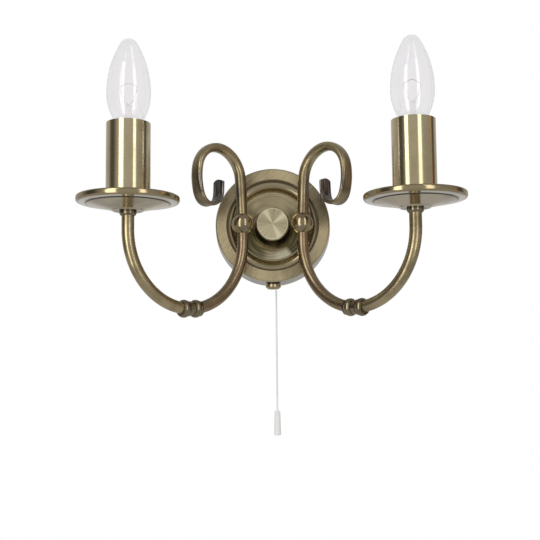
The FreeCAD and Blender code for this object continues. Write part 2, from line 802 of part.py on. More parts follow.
def scroll_section(distance):
    """Control points of the closed section: round, then ever flatter, broader and creased on its outer face."""
    out, up, heading = along_scroll(distance)
    share = (distance - value("scroll_flat_start")) / value("scroll_flat_end - scroll_flat_start")
    share = max(0.0, min(1.0, share)) ** value("scroll_flat_pace")
    round_width = value("tube_radius * 2")
    thickness = round_width + (value("strip_thickness") - round_width) * share
    width = round_width + (value("strip_width") - round_width) * share
    squareness = 1 - value("strip_squareness") * share
    crease = value("crease_depth") * share
    crease_reach = value("crease_share") * width
    outwards = Vector(-math.sin(heading), 0, math.cos(heading))
    middle = Vector(out, 0, up)
    spread = 3 / (2 + math.cos(2 * math.pi / SECTION_POINTS))     # the curve passes inside its control points
    points = []
    for index in range(SECTION_POINTS):
        angle = 2 * math.pi * index / SECTION_POINTS
        sideways, proud = math.cos(angle), math.sin(angle)
        sideways = math.copysign(abs(sideways) ** squareness, sideways) * width / 2
        proud = math.copysign(abs(proud) ** squareness, proud) * thickness / 2
        if proud > 0:
            proud -= crease * math.exp(-(sideways / crease_reach) ** 2)
        points.append(middle + (outwards * proud + Vector(0, sideways, 0)) * spread)
    return points


def make_scroll(side, word):
    """The tube curls over and is hammered flatter all the way to its broad, thin tip."""
    stations = scroll_stations()

    def heading_at(distance):
        heading = along_scroll(distance)[2]
        return Vector(math.cos(heading), 0, math.sin(heading))

    tracks = []
    for track in zip(*[scroll_section(distance) for distance in stations]):
        lengthwise = Part.BSplineCurve()
        lengthwise.interpolate(Points=list(track), Parameters=stations, InitialTangent=heading_at(0),
                               FinalTangent=heading_at(stations[-1]))
        tracks.append(lengthwise)
    skin = Part.BSplineSurface()
    skin.buildFromPolesMultsKnots(
        [lengthwise.getPoles() for lengthwise in tracks], [1] * (SECTION_POINTS + 1),
        tracks[0].getMultiplicities(), list(range(SECTION_POINTS + 1)), tracks[0].getKnots(), True, False, 3,
        tracks[0].Degree)
    tube = skin.toShape()
    ends = [Part.Face(Part.Wire(edge)) for edge in tube.Edges if edge.isClosed()]
    shell = Part.Shell([tube] + ends)
    shell.sewShape()
    blank = in_code("scroll_blank_" + word, Part.Solid(shell))
    blank.Placement = on_arm(side, 0, 0)
    keep(less("scroll_" + word, blank, [tip_corners(side, word, stations[-1])]))


def tip_corners(side, word, end):
    """What is filed off the two corners of the strip's end to round it."""
    out, up, heading = along_scroll(end)
    tip = on_arm(side, out, up, Rotation(Vector(0, 1, 0), 90 - math.degrees(heading)))
    deep = value("strip_thickness")
    wide = value("strip_width")
    round_off = value("scroll_tip_round")
    waste = block("tip_waste_" + word, "strip_thickness * 2", "strip_width * 1.2", "scroll_tip_round",
                  tip.multiply(Placement(Vector(-deep, -wide * 0.6, -round_off / 2), Rotation())))
    kept = rod("tip_kept_" + word, "scroll_tip_round", "strip_thickness * 2",
               tip.multiply(Placement(Vector(-deep, 0, -round_off), ALONG)))
    return less("tip_corners_" + word, waste, [kept])


# ---- Lower arms ----

ARM_SPAN = "(2 * arm_curve)"
GAP_TURN = "(tube_end_gap / 2 / arm_curve * 1 rad)"


def make_arm(side, word):
    """An inner and an outer tube make half a circle, and a turned coupling joins them at the bottom."""
    low = "-arm_start_drop - arm_curve * cos(%s)" % GAP_TURN
    keep(bent_tube("inner_arm_" + word, [
        ("0", "-ball_socket"),
        ("0", "-arm_start_drop", 1, "arm_curve"),
        ("arm_curve - arm_curve * sin(%s)" % GAP_TURN, low),
    ], ("0", "-ball_socket"), "tube_radius", "tube_bore", on_arm(side, 0, 0)))
    keep(bent_tube("outer_arm_" + word, [
        (ARM_SPAN, "arm_thread_top"),
        (ARM_SPAN, "-arm_start_drop", -1, "arm_curve"),
        ("arm_curve + arm_curve * sin(%s)" % GAP_TURN, low),
    ], (ARM_SPAN, "arm_thread_top"), "tube_radius", "tube_bore", on_arm(side, 0, 0)))
    half = "(coupling_rim_width + coupling_bead_width + coupling_waist_length / 2)"
    corners = [("0", "-" + half)]
    for foot in ("-" + half, "coupling_waist_length / 2"):
        bead = "%s + coupling_rim_width" % foot
        corners += [
            ("coupling_rim_radius", foot),
            ("coupling_rim_radius", bead),
            ("coupling_bead_foot", bead, 1, "coupling_bead_curve"),
            ("coupling_bead_foot", bead + " + coupling_bead_width"),
        ]
        if foot == "-" + half:
            corners += [("coupling_waist_radius", "-coupling_waist_length / 2"),
                        ("coupling_waist_radius", "coupling_waist_length / 2")]
    corners.append(("0", half))
    turn = Rotation(Vector(0, 1, 0), value("coupling_shift"))
    foot_of_arm = on_arm(side, value("arm_curve"), -value("arm_start_drop"), turn)
    spool = turned("coupling_spool_" + word, corners, foot_of_arm.multiply(
        Placement(Vector(0, 0, -value("arm_curve")), ALONG)))
    bore = doc.addObject("Part::Torus", "coupling_bore_" + word)
    bore.setExpression("Radius1", cells("arm_curve"))
    bore.setExpression("Radius2", cells("tube_radius + thread_gap"))
    bore.Placement = on_arm(side, value("arm_curve"), -value("arm_start_drop"), Rotation(Vector(1, 0, 0), 90))
    keep(less("coupling_" + word, spool, [bore]))


# ---- Pans, sleeves and lampholders ----

BULB_FOOT = "(holder_top_height - bulb_depth)"
HOLDER_FLOOR = "(%s - contact_height - cap_gap)" % BULB_FOOT


def cone_height(radius):
    """The height of the pan's upper face at a radius on its cone."""
    return ("(pan_seat_height + pan_step_rise + pan_skin + (%s - pan_step_radius) * pan_cone_rise"
            " / (pan_cone_radius - pan_step_radius))" % radius)


def make_pan(side, word):
    """A spun drip pan with a stepped seat, a shallow cone, a brim and a rolled rim, on a cupped collar."""
    axis = on_arm(side, value(ARM_SPAN), 0)
    keep(turned("collar_" + word, [
        ("tube_radius + thread_gap", "pan_seat_height - collar_height"),
        ("collar_radius - collar_foot_inset", "pan_seat_height - collar_height", 1, "collar_curve"),
        ("collar_radius", "pan_seat_height - collar_top_edge"),
        ("collar_radius", "pan_seat_height"),
        ("tube_radius + thread_gap", "pan_seat_height"),
    ], axis))
    step = "(pan_seat_height + pan_step_rise)"
    cone = "(%s + pan_cone_rise)" % step
    crease = "(%s + pan_crease_rise)" % cone
    brim = "(%s + pan_brim_rise)" % crease
    brim_radius = "pan_radius - pan_roll_curve"
    keep(turned("pan_" + word, [
        ("tube_radius + thread_gap", "pan_seat_height"),
        ("pan_seat_radius", "pan_seat_height"),
        ("pan_step_radius", step),
        ("pan_cone_radius", cone),
        ("pan_cone_radius + pan_crease_width", crease),
        (brim_radius, brim, 1, "pan_roll_curve"),
        ("pan_radius", brim + " + pan_roll_curve"),
        ("pan_radius", "pan_top_height - pan_lip", 1, "pan_lip"),
        ("pan_radius - pan_lip", "pan_top_height"),
        ("pan_radius - pan_lip", "pan_top_height - pan_skin"),
        ("pan_radius - pan_skin", "pan_top_height - pan_lip"),
        ("pan_radius - pan_skin", brim + " + pan_roll_curve", -1, "pan_roll_curve - pan_skin"),
        (brim_radius, brim + " + pan_skin"),
        ("pan_cone_radius + pan_crease_width", crease + " + pan_skin"),
        ("pan_cone_radius", cone + " + pan_skin"),
        ("pan_step_radius", step + " + pan_skin"),
        ("pan_seat_radius", "pan_seat_height + pan_skin"),
        ("tube_radius + thread_gap", "pan_seat_height + pan_skin"),
    ], axis))
    foot = cone_height("sleeve_radius") + " + thread_gap"
    keep(turned("candle_sleeve_" + word, [
        ("sleeve_radius - sleeve_skin", foot),
        ("sleeve_radius", foot),
        ("sleeve_radius", "sleeve_top_height"),
        ("sleeve_radius - sleeve_skin", "sleeve_top_height"),
    ], axis))


def make_lampholder(side, word):
    """The lampholder stands on a hollow threaded stem, above the long nut that clamps the pan."""
    axis = on_arm(side, value(ARM_SPAN), 0)
    keep(turned("holder_stem_" + word, [
        ("holder_stem_bore", "arm_thread_top + running_gap"),
        ("tube_radius", "arm_thread_top + running_gap"),
        ("tube_radius", "holder_stem_top"),
        ("holder_stem_bore", "holder_stem_top"),
    ], axis))
    keep(turned("lampholder_" + word, [
        ("tube_radius + thread_gap", "holder_foot_height"),
        ("holder_foot_radius", "holder_foot_height"),
        ("holder_foot_radius", "holder_step_height"),
        ("holder_radius", "holder_step_height"),
        ("holder_radius", "holder_top_height - holder_chamfer"),
        ("holder_radius - holder_chamfer", "holder_top_height"),
        ("holder_bore", "holder_top_height"),
        ("holder_bore", HOLDER_FLOOR),
        ("flex_radius + running_gap", HOLDER_FLOOR),
        ("flex_radius + running_gap", "holder_stem_top"),
        ("tube_radius + thread_gap", "holder_stem_top"),
    ], axis))
    keep(turned("holder_shell_" + word, [
        ("bulb_cap_radius + cap_gap", HOLDER_FLOOR),
        ("bulb_cap_radius + cap_gap + shell_skin", HOLDER_FLOOR),
        ("bulb_cap_radius + cap_gap + shell_skin", "holder_top_height - shell_inset"),
        ("bulb_cap_radius + cap_gap", "holder_top_height - shell_inset"),
    ], axis))
    keep(turned("holder_contact_" + word, [
        ("0", HOLDER_FLOOR),
        ("contact_radius", HOLDER_FLOOR),
        ("contact_radius", HOLDER_FLOOR + " + contact_height / 2"),
        ("contact_radius / 2", BULB_FOOT + " - cap_gap"),
        ("0", BULB_FOOT + " - cap_gap"),
    ], axis))


def make_pan_nuts():
    """A long hexagon nut joins each arm's threaded top to the lampholder's stem and clamps the pan."""
    nuts = [hex_nut("joint_nut_" + word, "joint_nut_flats", "joint_nut_height", "tube_radius + thread_gap",
                    on_arm(side, value(ARM_SPAN), value("pan_seat_height + pan_skin"))) for side, word in SIDES]
    keep(group("pan_nuts", nuts))


# ---- Bulbs ----

def bulb_outline(inset):
    """The glass from its neck to its tip, as corners that stay an inset inside the outer face."""
    taper = "bulb_taper * 1 deg"
    over = "(belly_over_curve - %s)" % inset
    start_out = "(belly_radius - belly_over_curve + %s * cos(%s))" % (over, taper)
    start_up = "(%s + belly_rise + %s * sin(%s))" % (BULB_FOOT, over, taper)
    end_out = "(%s - bulb_flank * sin(%s))" % (start_out, taper)
    end_up = "(%s + bulb_flank * cos(%s))" % (start_up, taper)
    cap = "(%s / cos(%s))" % (end_out, taper)
    return [
        ("glass_neck_radius - %s" % inset, BULB_FOOT + " + glass_neck_rise"),
        ("glass_waist_radius - %s" % inset, BULB_FOOT + " + glass_waist_rise", 1,
         "belly_under_curve - %s" % inset),
        ("belly_radius - %s" % inset, BULB_FOOT + " + belly_rise", 1, over),
        (start_out, start_up),
        (end_out, end_up, 1, cap),
        ("0", "%s - %s * sin(%s) + %s" % (end_up, cap, taper, cap)),
    ]


def make_bulb(side, word):
    """A clear candle bulb: glass, screw cap, glass mount and the filament on its two leads."""
    axis = on_arm(side, value(ARM_SPAN), 0)
    thread_foot = BULB_FOOT + " + bulb_thread_foot"
    thread_top = BULB_FOOT + " + bulb_cap_height"
    mount_top = BULB_FOOT + " + mount_rise"
    neck_foot = thread_top + " + glass_foot"
    outer = bulb_outline("0")
    inner = bulb_outline("glass_skin")
    corners = [("glass_neck_radius - glass_skin", neck_foot), ("glass_neck_radius", neck_foot)] + outer
    for corner, leading in zip(inner[::-1], inner[-2::-1] + [("", "")]):
        arc_back = (-1, leading[3]) if len(leading) > 2 else ()
        corners.append(corner[:2] + arc_back)
    keep(turned("bulb_glass_" + word, corners, axis))
    keep(turned("bulb_cap_" + word, [
        ("0", BULB_FOOT),
        ("bulb_contact_radius", BULB_FOOT),
        ("bulb_contact_radius", BULB_FOOT + " + bulb_contact_height"),
        ("bulb_cap_radius - bulb_cap_skin", thread_foot),
        ("bulb_cap_radius", thread_foot + " + bulb_cap_skin"),
        ("bulb_cap_radius", thread_top),
        ("bulb_skirt_radius", thread_top + " + bulb_flare_height"),
        ("bulb_skirt_radius", thread_top + " + bulb_skirt_height"),
        ("glass_neck_radius + thread_gap", thread_top + " + bulb_skirt_height"),
        ("glass_neck_radius + thread_gap", neck_foot),
        ("bulb_cap_radius - bulb_cap_skin", neck_foot),
        ("bulb_cap_radius - bulb_cap_skin", thread_foot + " + bulb_cap_skin * 2"),
        ("0", thread_foot + " + bulb_cap_skin * 2"),
    ], axis))
    keep(turned("bulb_mount_" + word, [
        ("0", neck_foot),
        ("mount_flare_radius", neck_foot, -1, "mount_flare_curve"),
        ("mount_radius", BULB_FOOT + " + glass_waist_rise"),
        ("mount_radius", mount_top + " - mount_radius", 1, "mount_radius"),
        ("0", mount_top),
    ], axis))
    make_filament(side, word)


def make_filament(side, word):
    """Two leads spread from the mount's tip and carry a short bowed filament."""
    middle = on_arm(side, value(ARM_SPAN), 0).Base
    mount_top = value(BULB_FOOT + " + mount_rise")
    top = mount_top + value("filament_rise")
    foot = mount_top + value("running_gap")
    shoulder = foot + value("lead_shoulder_rise")
    across = Vector(1, 0, 0)
    half = [(value("lead_foot_spread"), foot), (value("lead_shoulder_spread"), shoulder),
            (value("lead_spread"), top)]
    points = [middle + UP * up - across * out for out, up in half]
    points.append(middle + UP * (top + value("filament_bow")))
    points += [middle + UP * up + across * out for out, up in half[::-1]]
    bends = ("lead_bend", "filament_bend", "filament_bow", "filament_bend", "lead_bend")
    keep(in_code("filament_" + word, routed_tube(points, map(value, bends), value("lead_radius"))))


# ---- Wiring ----

def make_flex(side, word):
    """The flex from a lampholder runs down its stem, round the arm and through the ball to the block."""
    curve = value("arm_curve")
    low = -value("arm_start_drop + arm_curve")
    across = side * value("ball_aside")
    bend_depth = value("flex_bend_depth")
    height = value("flex_block_height")
    front = -value("flex_bend_depth + flex_step")
    points = [
        on_arm(side, 2 * curve, value(HOLDER_FLOOR)).Base,
        on_arm(side, 2 * curve, low).Base,
        on_arm(side, 0, low).Base,
        on_arm(side, 0, 0).Base,
        Vector(across, -bend_depth, 0),
        Vector(side * value("ball_aside - flex_inset"), front, height),
        Vector(side * value("block_length / 2"), front, height),
    ]
    bends = [curve, curve, value("flex_turn"), value("flex_corner"), value("flex_corner")]
    keep(in_code("arm_flex_" + word, routed_tube(points, bends, value("flex_radius"))))


def make_switch_flex():
    """A short lead drops from the terminal block past the stud to the switch."""
    aside = value("link_aside")
    low = -value("link_drop")
    depth = value("strap_thickness + block_depth / 2")
    points = [
        Vector(aside, -depth, value("block_foot")),
        Vector(aside, -depth, -value("earth_drop")),
        Vector(aside - value("link_inset"), -value("switch_depth"), low),
        Vector(aside - value("link_inset"), -value("switch_depth"), -value(SWITCH_FLOOR + " - switch_height")),
    ]
    keep(in_code("switch_flex", routed_tube(points, [value("link_bend")] * 2, value("link_radius"))))


make_back_plate()
make_bracket()
make_knob()
make_terminal_block()
make_switch()
make_cord()
make_stem_fixings()
make_pan_nuts()
make_switch_flex()
for side, word in SIDES:
    make_ball(side, word)
    make_stem(side, word)
    make_scroll(side, word)
    make_arm(side, word)
    make_pan(side, word)
    make_lampholder(side, word)
    make_bulb(side, word)
    make_flex(side, word)
doc.recompute()

faults = [thing.Label for thing in doc.Objects if set(thing.State) & {"Invalid", "Error"}]
for part in parts:
    if part.Shape.isNull() or not part.Shape.isValid() or not part.Shape.Solids:
        faults.append(part.Label)
if faults:
    raise RuntimeError("these pieces failed: " + ", ".join(faults))

os.makedirs("parts", exist_ok=True)
for part in parts:
    part.Shape.exportStep("parts/%s.step" % part.Label)
    box = part.Shape.BoundBox
    print("%-20s solids %d  volume %9.1f  X %.1f..%.1f  Y %.1f..%.1f  Z %.1f..%.1f" % (
        part.Label, len(part.Shape.Solids), part.Shape.Volume,
        box.XMin, box.XMax, box.YMin, box.YMax, box.ZMin, box.ZMax))
print("%d pieces" % len(parts))
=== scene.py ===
# %% [markdown]
# # A double arm wall light in antique brass
# The light is a round back plate with two curved tube arms, two scrolls, two drip pans with candle sleeves
# and bulbs, and a pull cord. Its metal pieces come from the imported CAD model, which is loaded here as a
# fixed frame. This lesson gives them their finishes, and makes the cord and the thin blown glass of the
# bulbs anew.

# %% Load the frame
import math

import bpy
from mathutils import Euler, Matrix, Vector


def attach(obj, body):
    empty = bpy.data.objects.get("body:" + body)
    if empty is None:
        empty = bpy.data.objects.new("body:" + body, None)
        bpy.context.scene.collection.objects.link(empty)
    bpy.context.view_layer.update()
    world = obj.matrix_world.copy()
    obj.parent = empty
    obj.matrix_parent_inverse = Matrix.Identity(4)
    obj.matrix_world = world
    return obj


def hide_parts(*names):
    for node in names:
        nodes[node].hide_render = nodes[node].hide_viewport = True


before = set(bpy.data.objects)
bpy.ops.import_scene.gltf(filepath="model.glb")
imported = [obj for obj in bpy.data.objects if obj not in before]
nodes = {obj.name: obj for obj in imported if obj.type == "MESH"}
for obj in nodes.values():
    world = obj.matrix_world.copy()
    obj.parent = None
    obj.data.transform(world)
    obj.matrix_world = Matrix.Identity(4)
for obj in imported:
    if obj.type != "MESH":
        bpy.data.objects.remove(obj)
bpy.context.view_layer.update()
bpy.ops.object.select_all(action="DESELECT")
MM = 0.001
SIDES = ("left", "right")

# %% [markdown]
# ## The camera
# The photograph was taken from a little below the plate's middle, looking slightly up. The place and the
# angles below were fitted to the balls, pans, plate and bob, so the picture and the render can be laid over
# each other. A camera looks along its own -Z, so it is first raised by a quarter turn to look along +Y.

# %% Set the camera
CAMERA_PLACE = Vector((6.59, -779.9, -110.5)) * MM
CAMERA_PITCH = math.radians(5.32)
CAMERA_YAW = math.radians(0.71)
CAMERA_ROLL = math.radians(-0.53)
SENSOR_WIDTH, FOCAL_LENGTH = 36, 56.24

lens = bpy.data.cameras.new("photograph_lens")
lens.sensor_width = SENSOR_WIDTH
lens.lens = FOCAL_LENGTH
lens.clip_start = 0.01
camera = bpy.data.objects.new("photograph_camera", lens)
camera.matrix_world = (Matrix.Translation(CAMERA_PLACE) @ Matrix.Rotation(CAMERA_YAW, 4, "Z")
                       @ Matrix.Rotation(math.pi / 2 + CAMERA_PITCH, 4, "X")
                       @ Matrix.Rotation(CAMERA_ROLL, 4, "Z"))
bpy.context.scene.collection.objects.link(camera)
bpy.context.scene.camera = camera
bpy.context.scene.view_settings.view_transform = "Standard"
print("camera at", [round(v, 3) for v in camera.location])

# %% [markdown]
# ## The pull cord
# The cord is a thin braid that a small weight pulls straight. A curve of one open NURBS spline suits it: it
# stays a smooth line, and its bevel gives the round section. Two of its points stand six diameters from its
# ends. A curve's box grows by the radius of its points, so each point has a radius of 1 mm and the bevel is
# in those.

# %% Make the cord
CORD_TOP = -57.91
CORD_FOOT = -181.1
CORD_ASIDE = 2.6
CORD_DEPTH = -15.0
CORD_DIAMETER = 1.5
END_STEP = 6 * CORD_DIAMETER

line = bpy.data.curves.new("pull_cord_line", "CURVE")
line.dimensions = "3D"
line.bevel_depth = CORD_DIAMETER / 2
line.bevel_resolution = 4
line.use_fill_caps = True
line.resolution_u = 12
heights = (CORD_TOP, CORD_TOP - END_STEP, (CORD_TOP + CORD_FOOT) / 2, CORD_FOOT + END_STEP, CORD_FOOT)
spline = line.splines.new("NURBS")
spline.points.add(len(heights) - 1)
for point, height in zip(spline.points, heights):
    point.co = (CORD_ASIDE * MM, CORD_DEPTH * MM, height * MM, 1)
    point.radius = MM
spline.order_u = 3
spline.use_endpoint_u = True
cord = bpy.data.objects.new("braided_cord", line)
bpy.context.scene.collection.objects.link(cord)
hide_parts("pull_cord")
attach(cord, "cord")
print("cord length in mm:", round(CORD_TOP - CORD_FOOT, 1))

# %% [markdown]
# ## Helpers for shaping
# The bulbs' glass is a turned form. It starts as a circle, which is extruded again and again along its axis
# and scaled to the next radius, as one works upwards on a lathe. The whole outline is given as (radius,
# height) pairs in millimetres. A finished piece keeps its object at the origin, with its place in its mesh.

# %% Lathe helper
def lathe(name, outline, segments, centre):
    """Extrudes a circle along the outline's (radius, height) pairs; closes both ends; stands along +Z."""
    bpy.ops.object.select_all(action="DESELECT")
    first_radius, first_height = outline[0]
    bpy.ops.mesh.primitive_circle_add(vertices=segments, radius=first_radius * MM, fill_type="NGON",
                                      location=centre + Vector((0, 0, first_height)) * MM)
    piece = bpy.context.object
    piece.name = name
    bpy.ops.object.mode_set(mode="EDIT")
    bpy.ops.mesh.select_all(action="SELECT")
    radius, height = first_radius, first_height
    for next_radius, next_height in outline[1:]:
        bpy.ops.mesh.extrude_region_move(
            TRANSFORM_OT_translate={"value": (0, 0, (next_height - height) * MM)})
        ratio = next_radius / radius
        bpy.ops.transform.resize(value=(ratio, ratio, 1),
                                 center_override=centre + Vector((0, 0, next_height)) * MM)
        radius, height = next_radius, next_height
    bpy.ops.mesh.select_all(action="SELECT")
    bpy.ops.mesh.normals_make_consistent(inside=False)
    bpy.ops.object.mode_set(mode="OBJECT")
    bpy.ops.object.transform_apply(location=True, rotation=True, scale=True)
    return piece


def smooth(piece, degrees):
    """Smooth shading, apart from edges sharper than the angle."""
    bpy.ops.object.select_all(action="DESELECT")
    piece.select_set(True)
    bpy.context.view_layer.objects.active = piece
    bpy.ops.object.shade_smooth_by_angle(angle=math.radians(degrees))


print("lathe and smooth are ready")

# %% [markdown]
# ## The bulbs' glass
# A candle bulb is blown: a narrow neck, a belly, and one long curve that closes in a round tip. The outline
# is two arcs and a ball. The outer face is turned from it, and Solidify then gives it a real wall, so that
# light bends twice in it as in the real bulb. The left bulb is modelled, and the right one is its copy.

# %% The bulb's outline
BALL_ASIDE, BALL_DEPTH = 26.5, 39.0
ARM_SPAN, ARM_TURN = 122.0, math.radians(45)
BULB_OUT = BALL_ASIDE + ARM_SPAN * math.cos(ARM_TURN)
BULB_FORWARD = -BALL_DEPTH - ARM_SPAN * math.sin(ARM_TURN)
BULB_TOP = 137.5
NECK = [(7.2, 59.4), (7.2, 62.6), (7.5, 64.4), (8.7, 66.6)]
WAIST_HEIGHT = 69.2
BELLY_RADIUS, BELLY_HEIGHT = 17.5, 93.0
UNDER_CURVE, OVER_CURVE = 44.0, 82.0
UNDER_STEPS, OVER_STEPS, TIP_STEPS = 10, 18, 9
TIP_END = math.radians(87)  # short of the axis, so that the last ring keeps a size

belly_offset = OVER_CURVE - BELLY_RADIUS
top_rise = BULB_TOP - BELLY_HEIGHT
tip_radius = ((OVER_CURVE ** 2 - belly_offset ** 2 - top_rise ** 2) / (2 * (OVER_CURVE - top_rise)))
tip_height = BULB_TOP - tip_radius
tip_slope = math.atan2(tip_height - BELLY_HEIGHT, belly_offset)


def arc(centre, radius, start, end, steps):
    """(radius, height) pairs on an arc about a centre, from one angle to another, both in radians."""
    out, up = centre
    angles = [start + (end - start) * step / steps for step in range(steps + 1)]
    return [(out + radius * math.cos(angle), up + radius * math.sin(angle)) for angle in angles]


under_start = -math.asin((BELLY_HEIGHT - WAIST_HEIGHT) / UNDER_CURVE)
under = arc((BELLY_RADIUS - UNDER_CURVE, BELLY_HEIGHT), UNDER_CURVE, under_start, 0, UNDER_STEPS)
over = arc((-belly_offset, BELLY_HEIGHT), OVER_CURVE, 0, tip_slope, OVER_STEPS)
tip = arc((0, tip_height), tip_radius, tip_slope, TIP_END, TIP_STEPS)
glass_outline = NECK + under[:-1] + over[:-1] + tip
print("tip radius in mm:", round(tip_radius, 2), "points:", len(glass_outline))

# %% Blow the bulbs
GLASS_WALL = 0.7
GLASS_SEGMENTS = 96
SHARP_EDGE = 40
NEARLY = 1e-6

bulb_place = Vector((-BULB_OUT, BULB_FORWARD, 0)) * MM
first = lathe("glass_envelope_left", glass_outline, GLASS_SEGMENTS, bulb_place)
bpy.ops.object.mode_set(mode="EDIT")
bpy.ops.mesh.select_all(action="DESELECT")
bpy.ops.object.mode_set(mode="OBJECT")
foot = glass_outline[0][1] * MM
for face in first.data.polygons:
    face.select = all(abs(first.data.vertices[v].co.z - foot) < NEARLY for v in face.vertices)
bpy.ops.object.mode_set(mode="EDIT")
bpy.ops.mesh.delete(type="FACE")
bpy.ops.object.mode_set(mode="OBJECT")
wall = first.modifiers.new("wall", "SOLIDIFY")
wall.thickness = GLASS_WALL * MM
wall.offset = -1
bpy.ops.object.modifier_apply(modifier=wall.name)
smooth(first, SHARP_EDGE)

bpy.ops.object.duplicate(linked=False)
second = bpy.context.object
second.name = "glass_envelope_right"
bpy.ops.transform.translate(value=(2 * BULB_OUT * MM, 0, 0))
bpy.ops.object.transform_apply(location=True, rotation=True, scale=True)
envelopes = [first, second]
for side, envelope in zip(SIDES, envelopes):
    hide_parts("bulb_glass_" + side)
    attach(envelope, "bulb_" + side)
print("glass faces:", [len(envelope.data.polygons) for envelope in envelopes])

# %% [markdown]
# ## Helpers for materials
# A material is a tree of nodes, and each node costs several lines: it is made, set and linked. The same few
# kinds come back in every finish, so each kind gets a small helper that takes its inputs and gives back its
# output.

# %% Shader helpers
def new_material(name):
    """A node material, with its tree, its Principled shader and its output."""
    material = bpy.data.materials.new(name)
    material.use_nodes = True
    tree = material.node_tree
    return material, tree, tree.nodes["Principled BSDF"], tree.nodes["Material Output"]


def math_node(tree, operation, first, second=None, clamp=False):
    """A Math node; each operand is a socket or a number."""
    node = tree.nodes.new("ShaderNodeMath")
    node.operation = operation
    node.use_clamp = clamp
    for socket, operand in zip(node.inputs, (first, second)):
        if operand is None:
            continue
        if isinstance(operand, (int, float)):
            socket.default_value = operand
        else:
            tree.links.new(operand, socket)
    return node.outputs[0]


def remap(tree, source, low, high, to_low=0.0, to_high=1.0, kind="SMOOTHSTEP"):
    """A Map Range node from low..high to to_low..to_high."""
    node = tree.nodes.new("ShaderNodeMapRange")
    node.interpolation_type = kind
    for name, number in (("From Min", low), ("From Max", high), ("To Min", to_low), ("To Max", to_high)):
        node.inputs[name].default_value = number
    tree.links.new(source, node.inputs["Value"])
    return node.outputs["Result"]


print("shader helpers are ready")

# %% Colour helpers
def feed(tree, socket, operand):
    """Sets a socket to an (r, g, b) or a number, or links it to another socket."""
    if isinstance(operand, tuple):
        socket.default_value = (*operand, 1)
    elif isinstance(operand, (int, float)):
        socket.default_value = operand
    else:
        tree.links.new(operand, socket)


def mix_colours(tree, mask, first, second):
    """A Mix node between two colours; each is a socket or an (r, g, b)."""
    node = tree.nodes.new("ShaderNodeMix")
    node.data_type = "RGBA"
    feed(tree, node.inputs["Factor"], mask)
    for name, colour in (("A", first), ("B", second)):
        socket = [entry for entry in node.inputs if entry.name == name and entry.type == "RGBA"][0]
        feed(tree, socket, colour)
    return [entry for entry in node.outputs if entry.type == "RGBA"][0]


def ramp(tree, source, stops, kind="LINEAR"):
    """A Color Ramp node; a stop is (position, colour), and the colour an (r, g, b) or a grey number."""
    node = tree.nodes.new("ShaderNodeValToRGB")
    node.color_ramp.interpolation = kind
    elements = node.color_ramp.elements
    while len(elements) > 1:
        elements.remove(elements[-1])
    for index, (position, colour) in enumerate(stops):
        element = elements[0] if index == 0 else elements.new(position)
        element.position = position
        element.color = (*colour, 1) if isinstance(colour, tuple) else (colour, colour, colour, 1)
    tree.links.new(source, node.inputs["Fac"])
    return node.outputs["Color"]


print("colour helpers are ready")

# %% [markdown]
# ## Floor and background
# The picture is a cut-out on white. A pale floor lies far below the light, as under a real wall light, and
# the world behind is white to the camera and to the glass. The floor's paint turns nearly white for the
# same two kinds of ray, so it hardly shows in the picture and makes no dark band in the bulbs.

# %% Lay the floor
FLOOR_HEIGHT = -1.3
FLOOR_WIDTH = 8.8
FLOOR_GREY = 0.75
FLOOR_ROUGHNESS = 0.9
WHITENESS = 0.85

bpy.ops.object.select_all(action="DESELECT")
bpy.ops.mesh.primitive_plane_add(size=FLOOR_WIDTH, location=(0, 0, FLOOR_HEIGHT))
floor = bpy.context.object
floor.name = "pale_floor"
bpy.ops.object.transform_apply(location=True, rotation=True, scale=True)

material, tree, shader, output = new_material("pale_floor_paint")
shader.inputs["Base Color"].default_value = (FLOOR_GREY, FLOOR_GREY, FLOOR_GREY, 1)
shader.inputs["Roughness"].default_value = FLOOR_ROUGHNESS
glow = tree.nodes.new("ShaderNodeEmission")
glow.inputs["Color"].default_value = (1, 1, 1, 1)
rays = tree.nodes.new("ShaderNodeLightPath")
blend = tree.nodes.new("ShaderNodeMixShader")
seen = math_node(tree, "MAXIMUM", rays.outputs["Is Camera Ray"], rays.outputs["Is Transmission Ray"])
tree.links.new(math_node(tree, "MULTIPLY", seen, WHITENESS), blend.inputs["Fac"])
tree.links.new(shader.outputs["BSDF"], blend.inputs[1])
tree.links.new(glow.outputs["Emission"], blend.inputs[2])
tree.links.new(blend.outputs["Shader"], output.inputs["Surface"])
floor.data.materials.append(material)
print("floor at", FLOOR_HEIGHT)

# %% [markdown]
# ## What the brass sees
# Polished brass shows what stands in front of it: without dark gaps it looks like plain yellow plastic. So
# the world is written as a panorama, a tone for each bearing round the light, from straight in front (0
# degrees) to the left (minus) and the right (plus). It is pale in front, dark at both sides with one warm
# line, and its back is the pale background. Above it is a ceiling of one grey.

# %% Light the world
WORLD_LEVEL = 0.62
CEILING = 0.36
CEILING_START, CEILING_FULL = 0.35, 0.8
DARK, WARM = 0.10, (0.95, 0.42, 0.16)
PANORAMA = ((-180, 0.62), (-140, 0.6), (-118, 0.5), (-104, 0.45), (-94, 0.2), (-88, DARK), (-70, DARK),
            (-56, 0.34), (-44, 0.5), (-16, 0.54), (0, 0.54), (24, 0.52), (48, 0.46), (72, 0.42), (87, 0.36),
            (90.5, WARM), (94, 0.2), (98, DARK), (110, DARK), (122, 0.5), (180, 0.62))

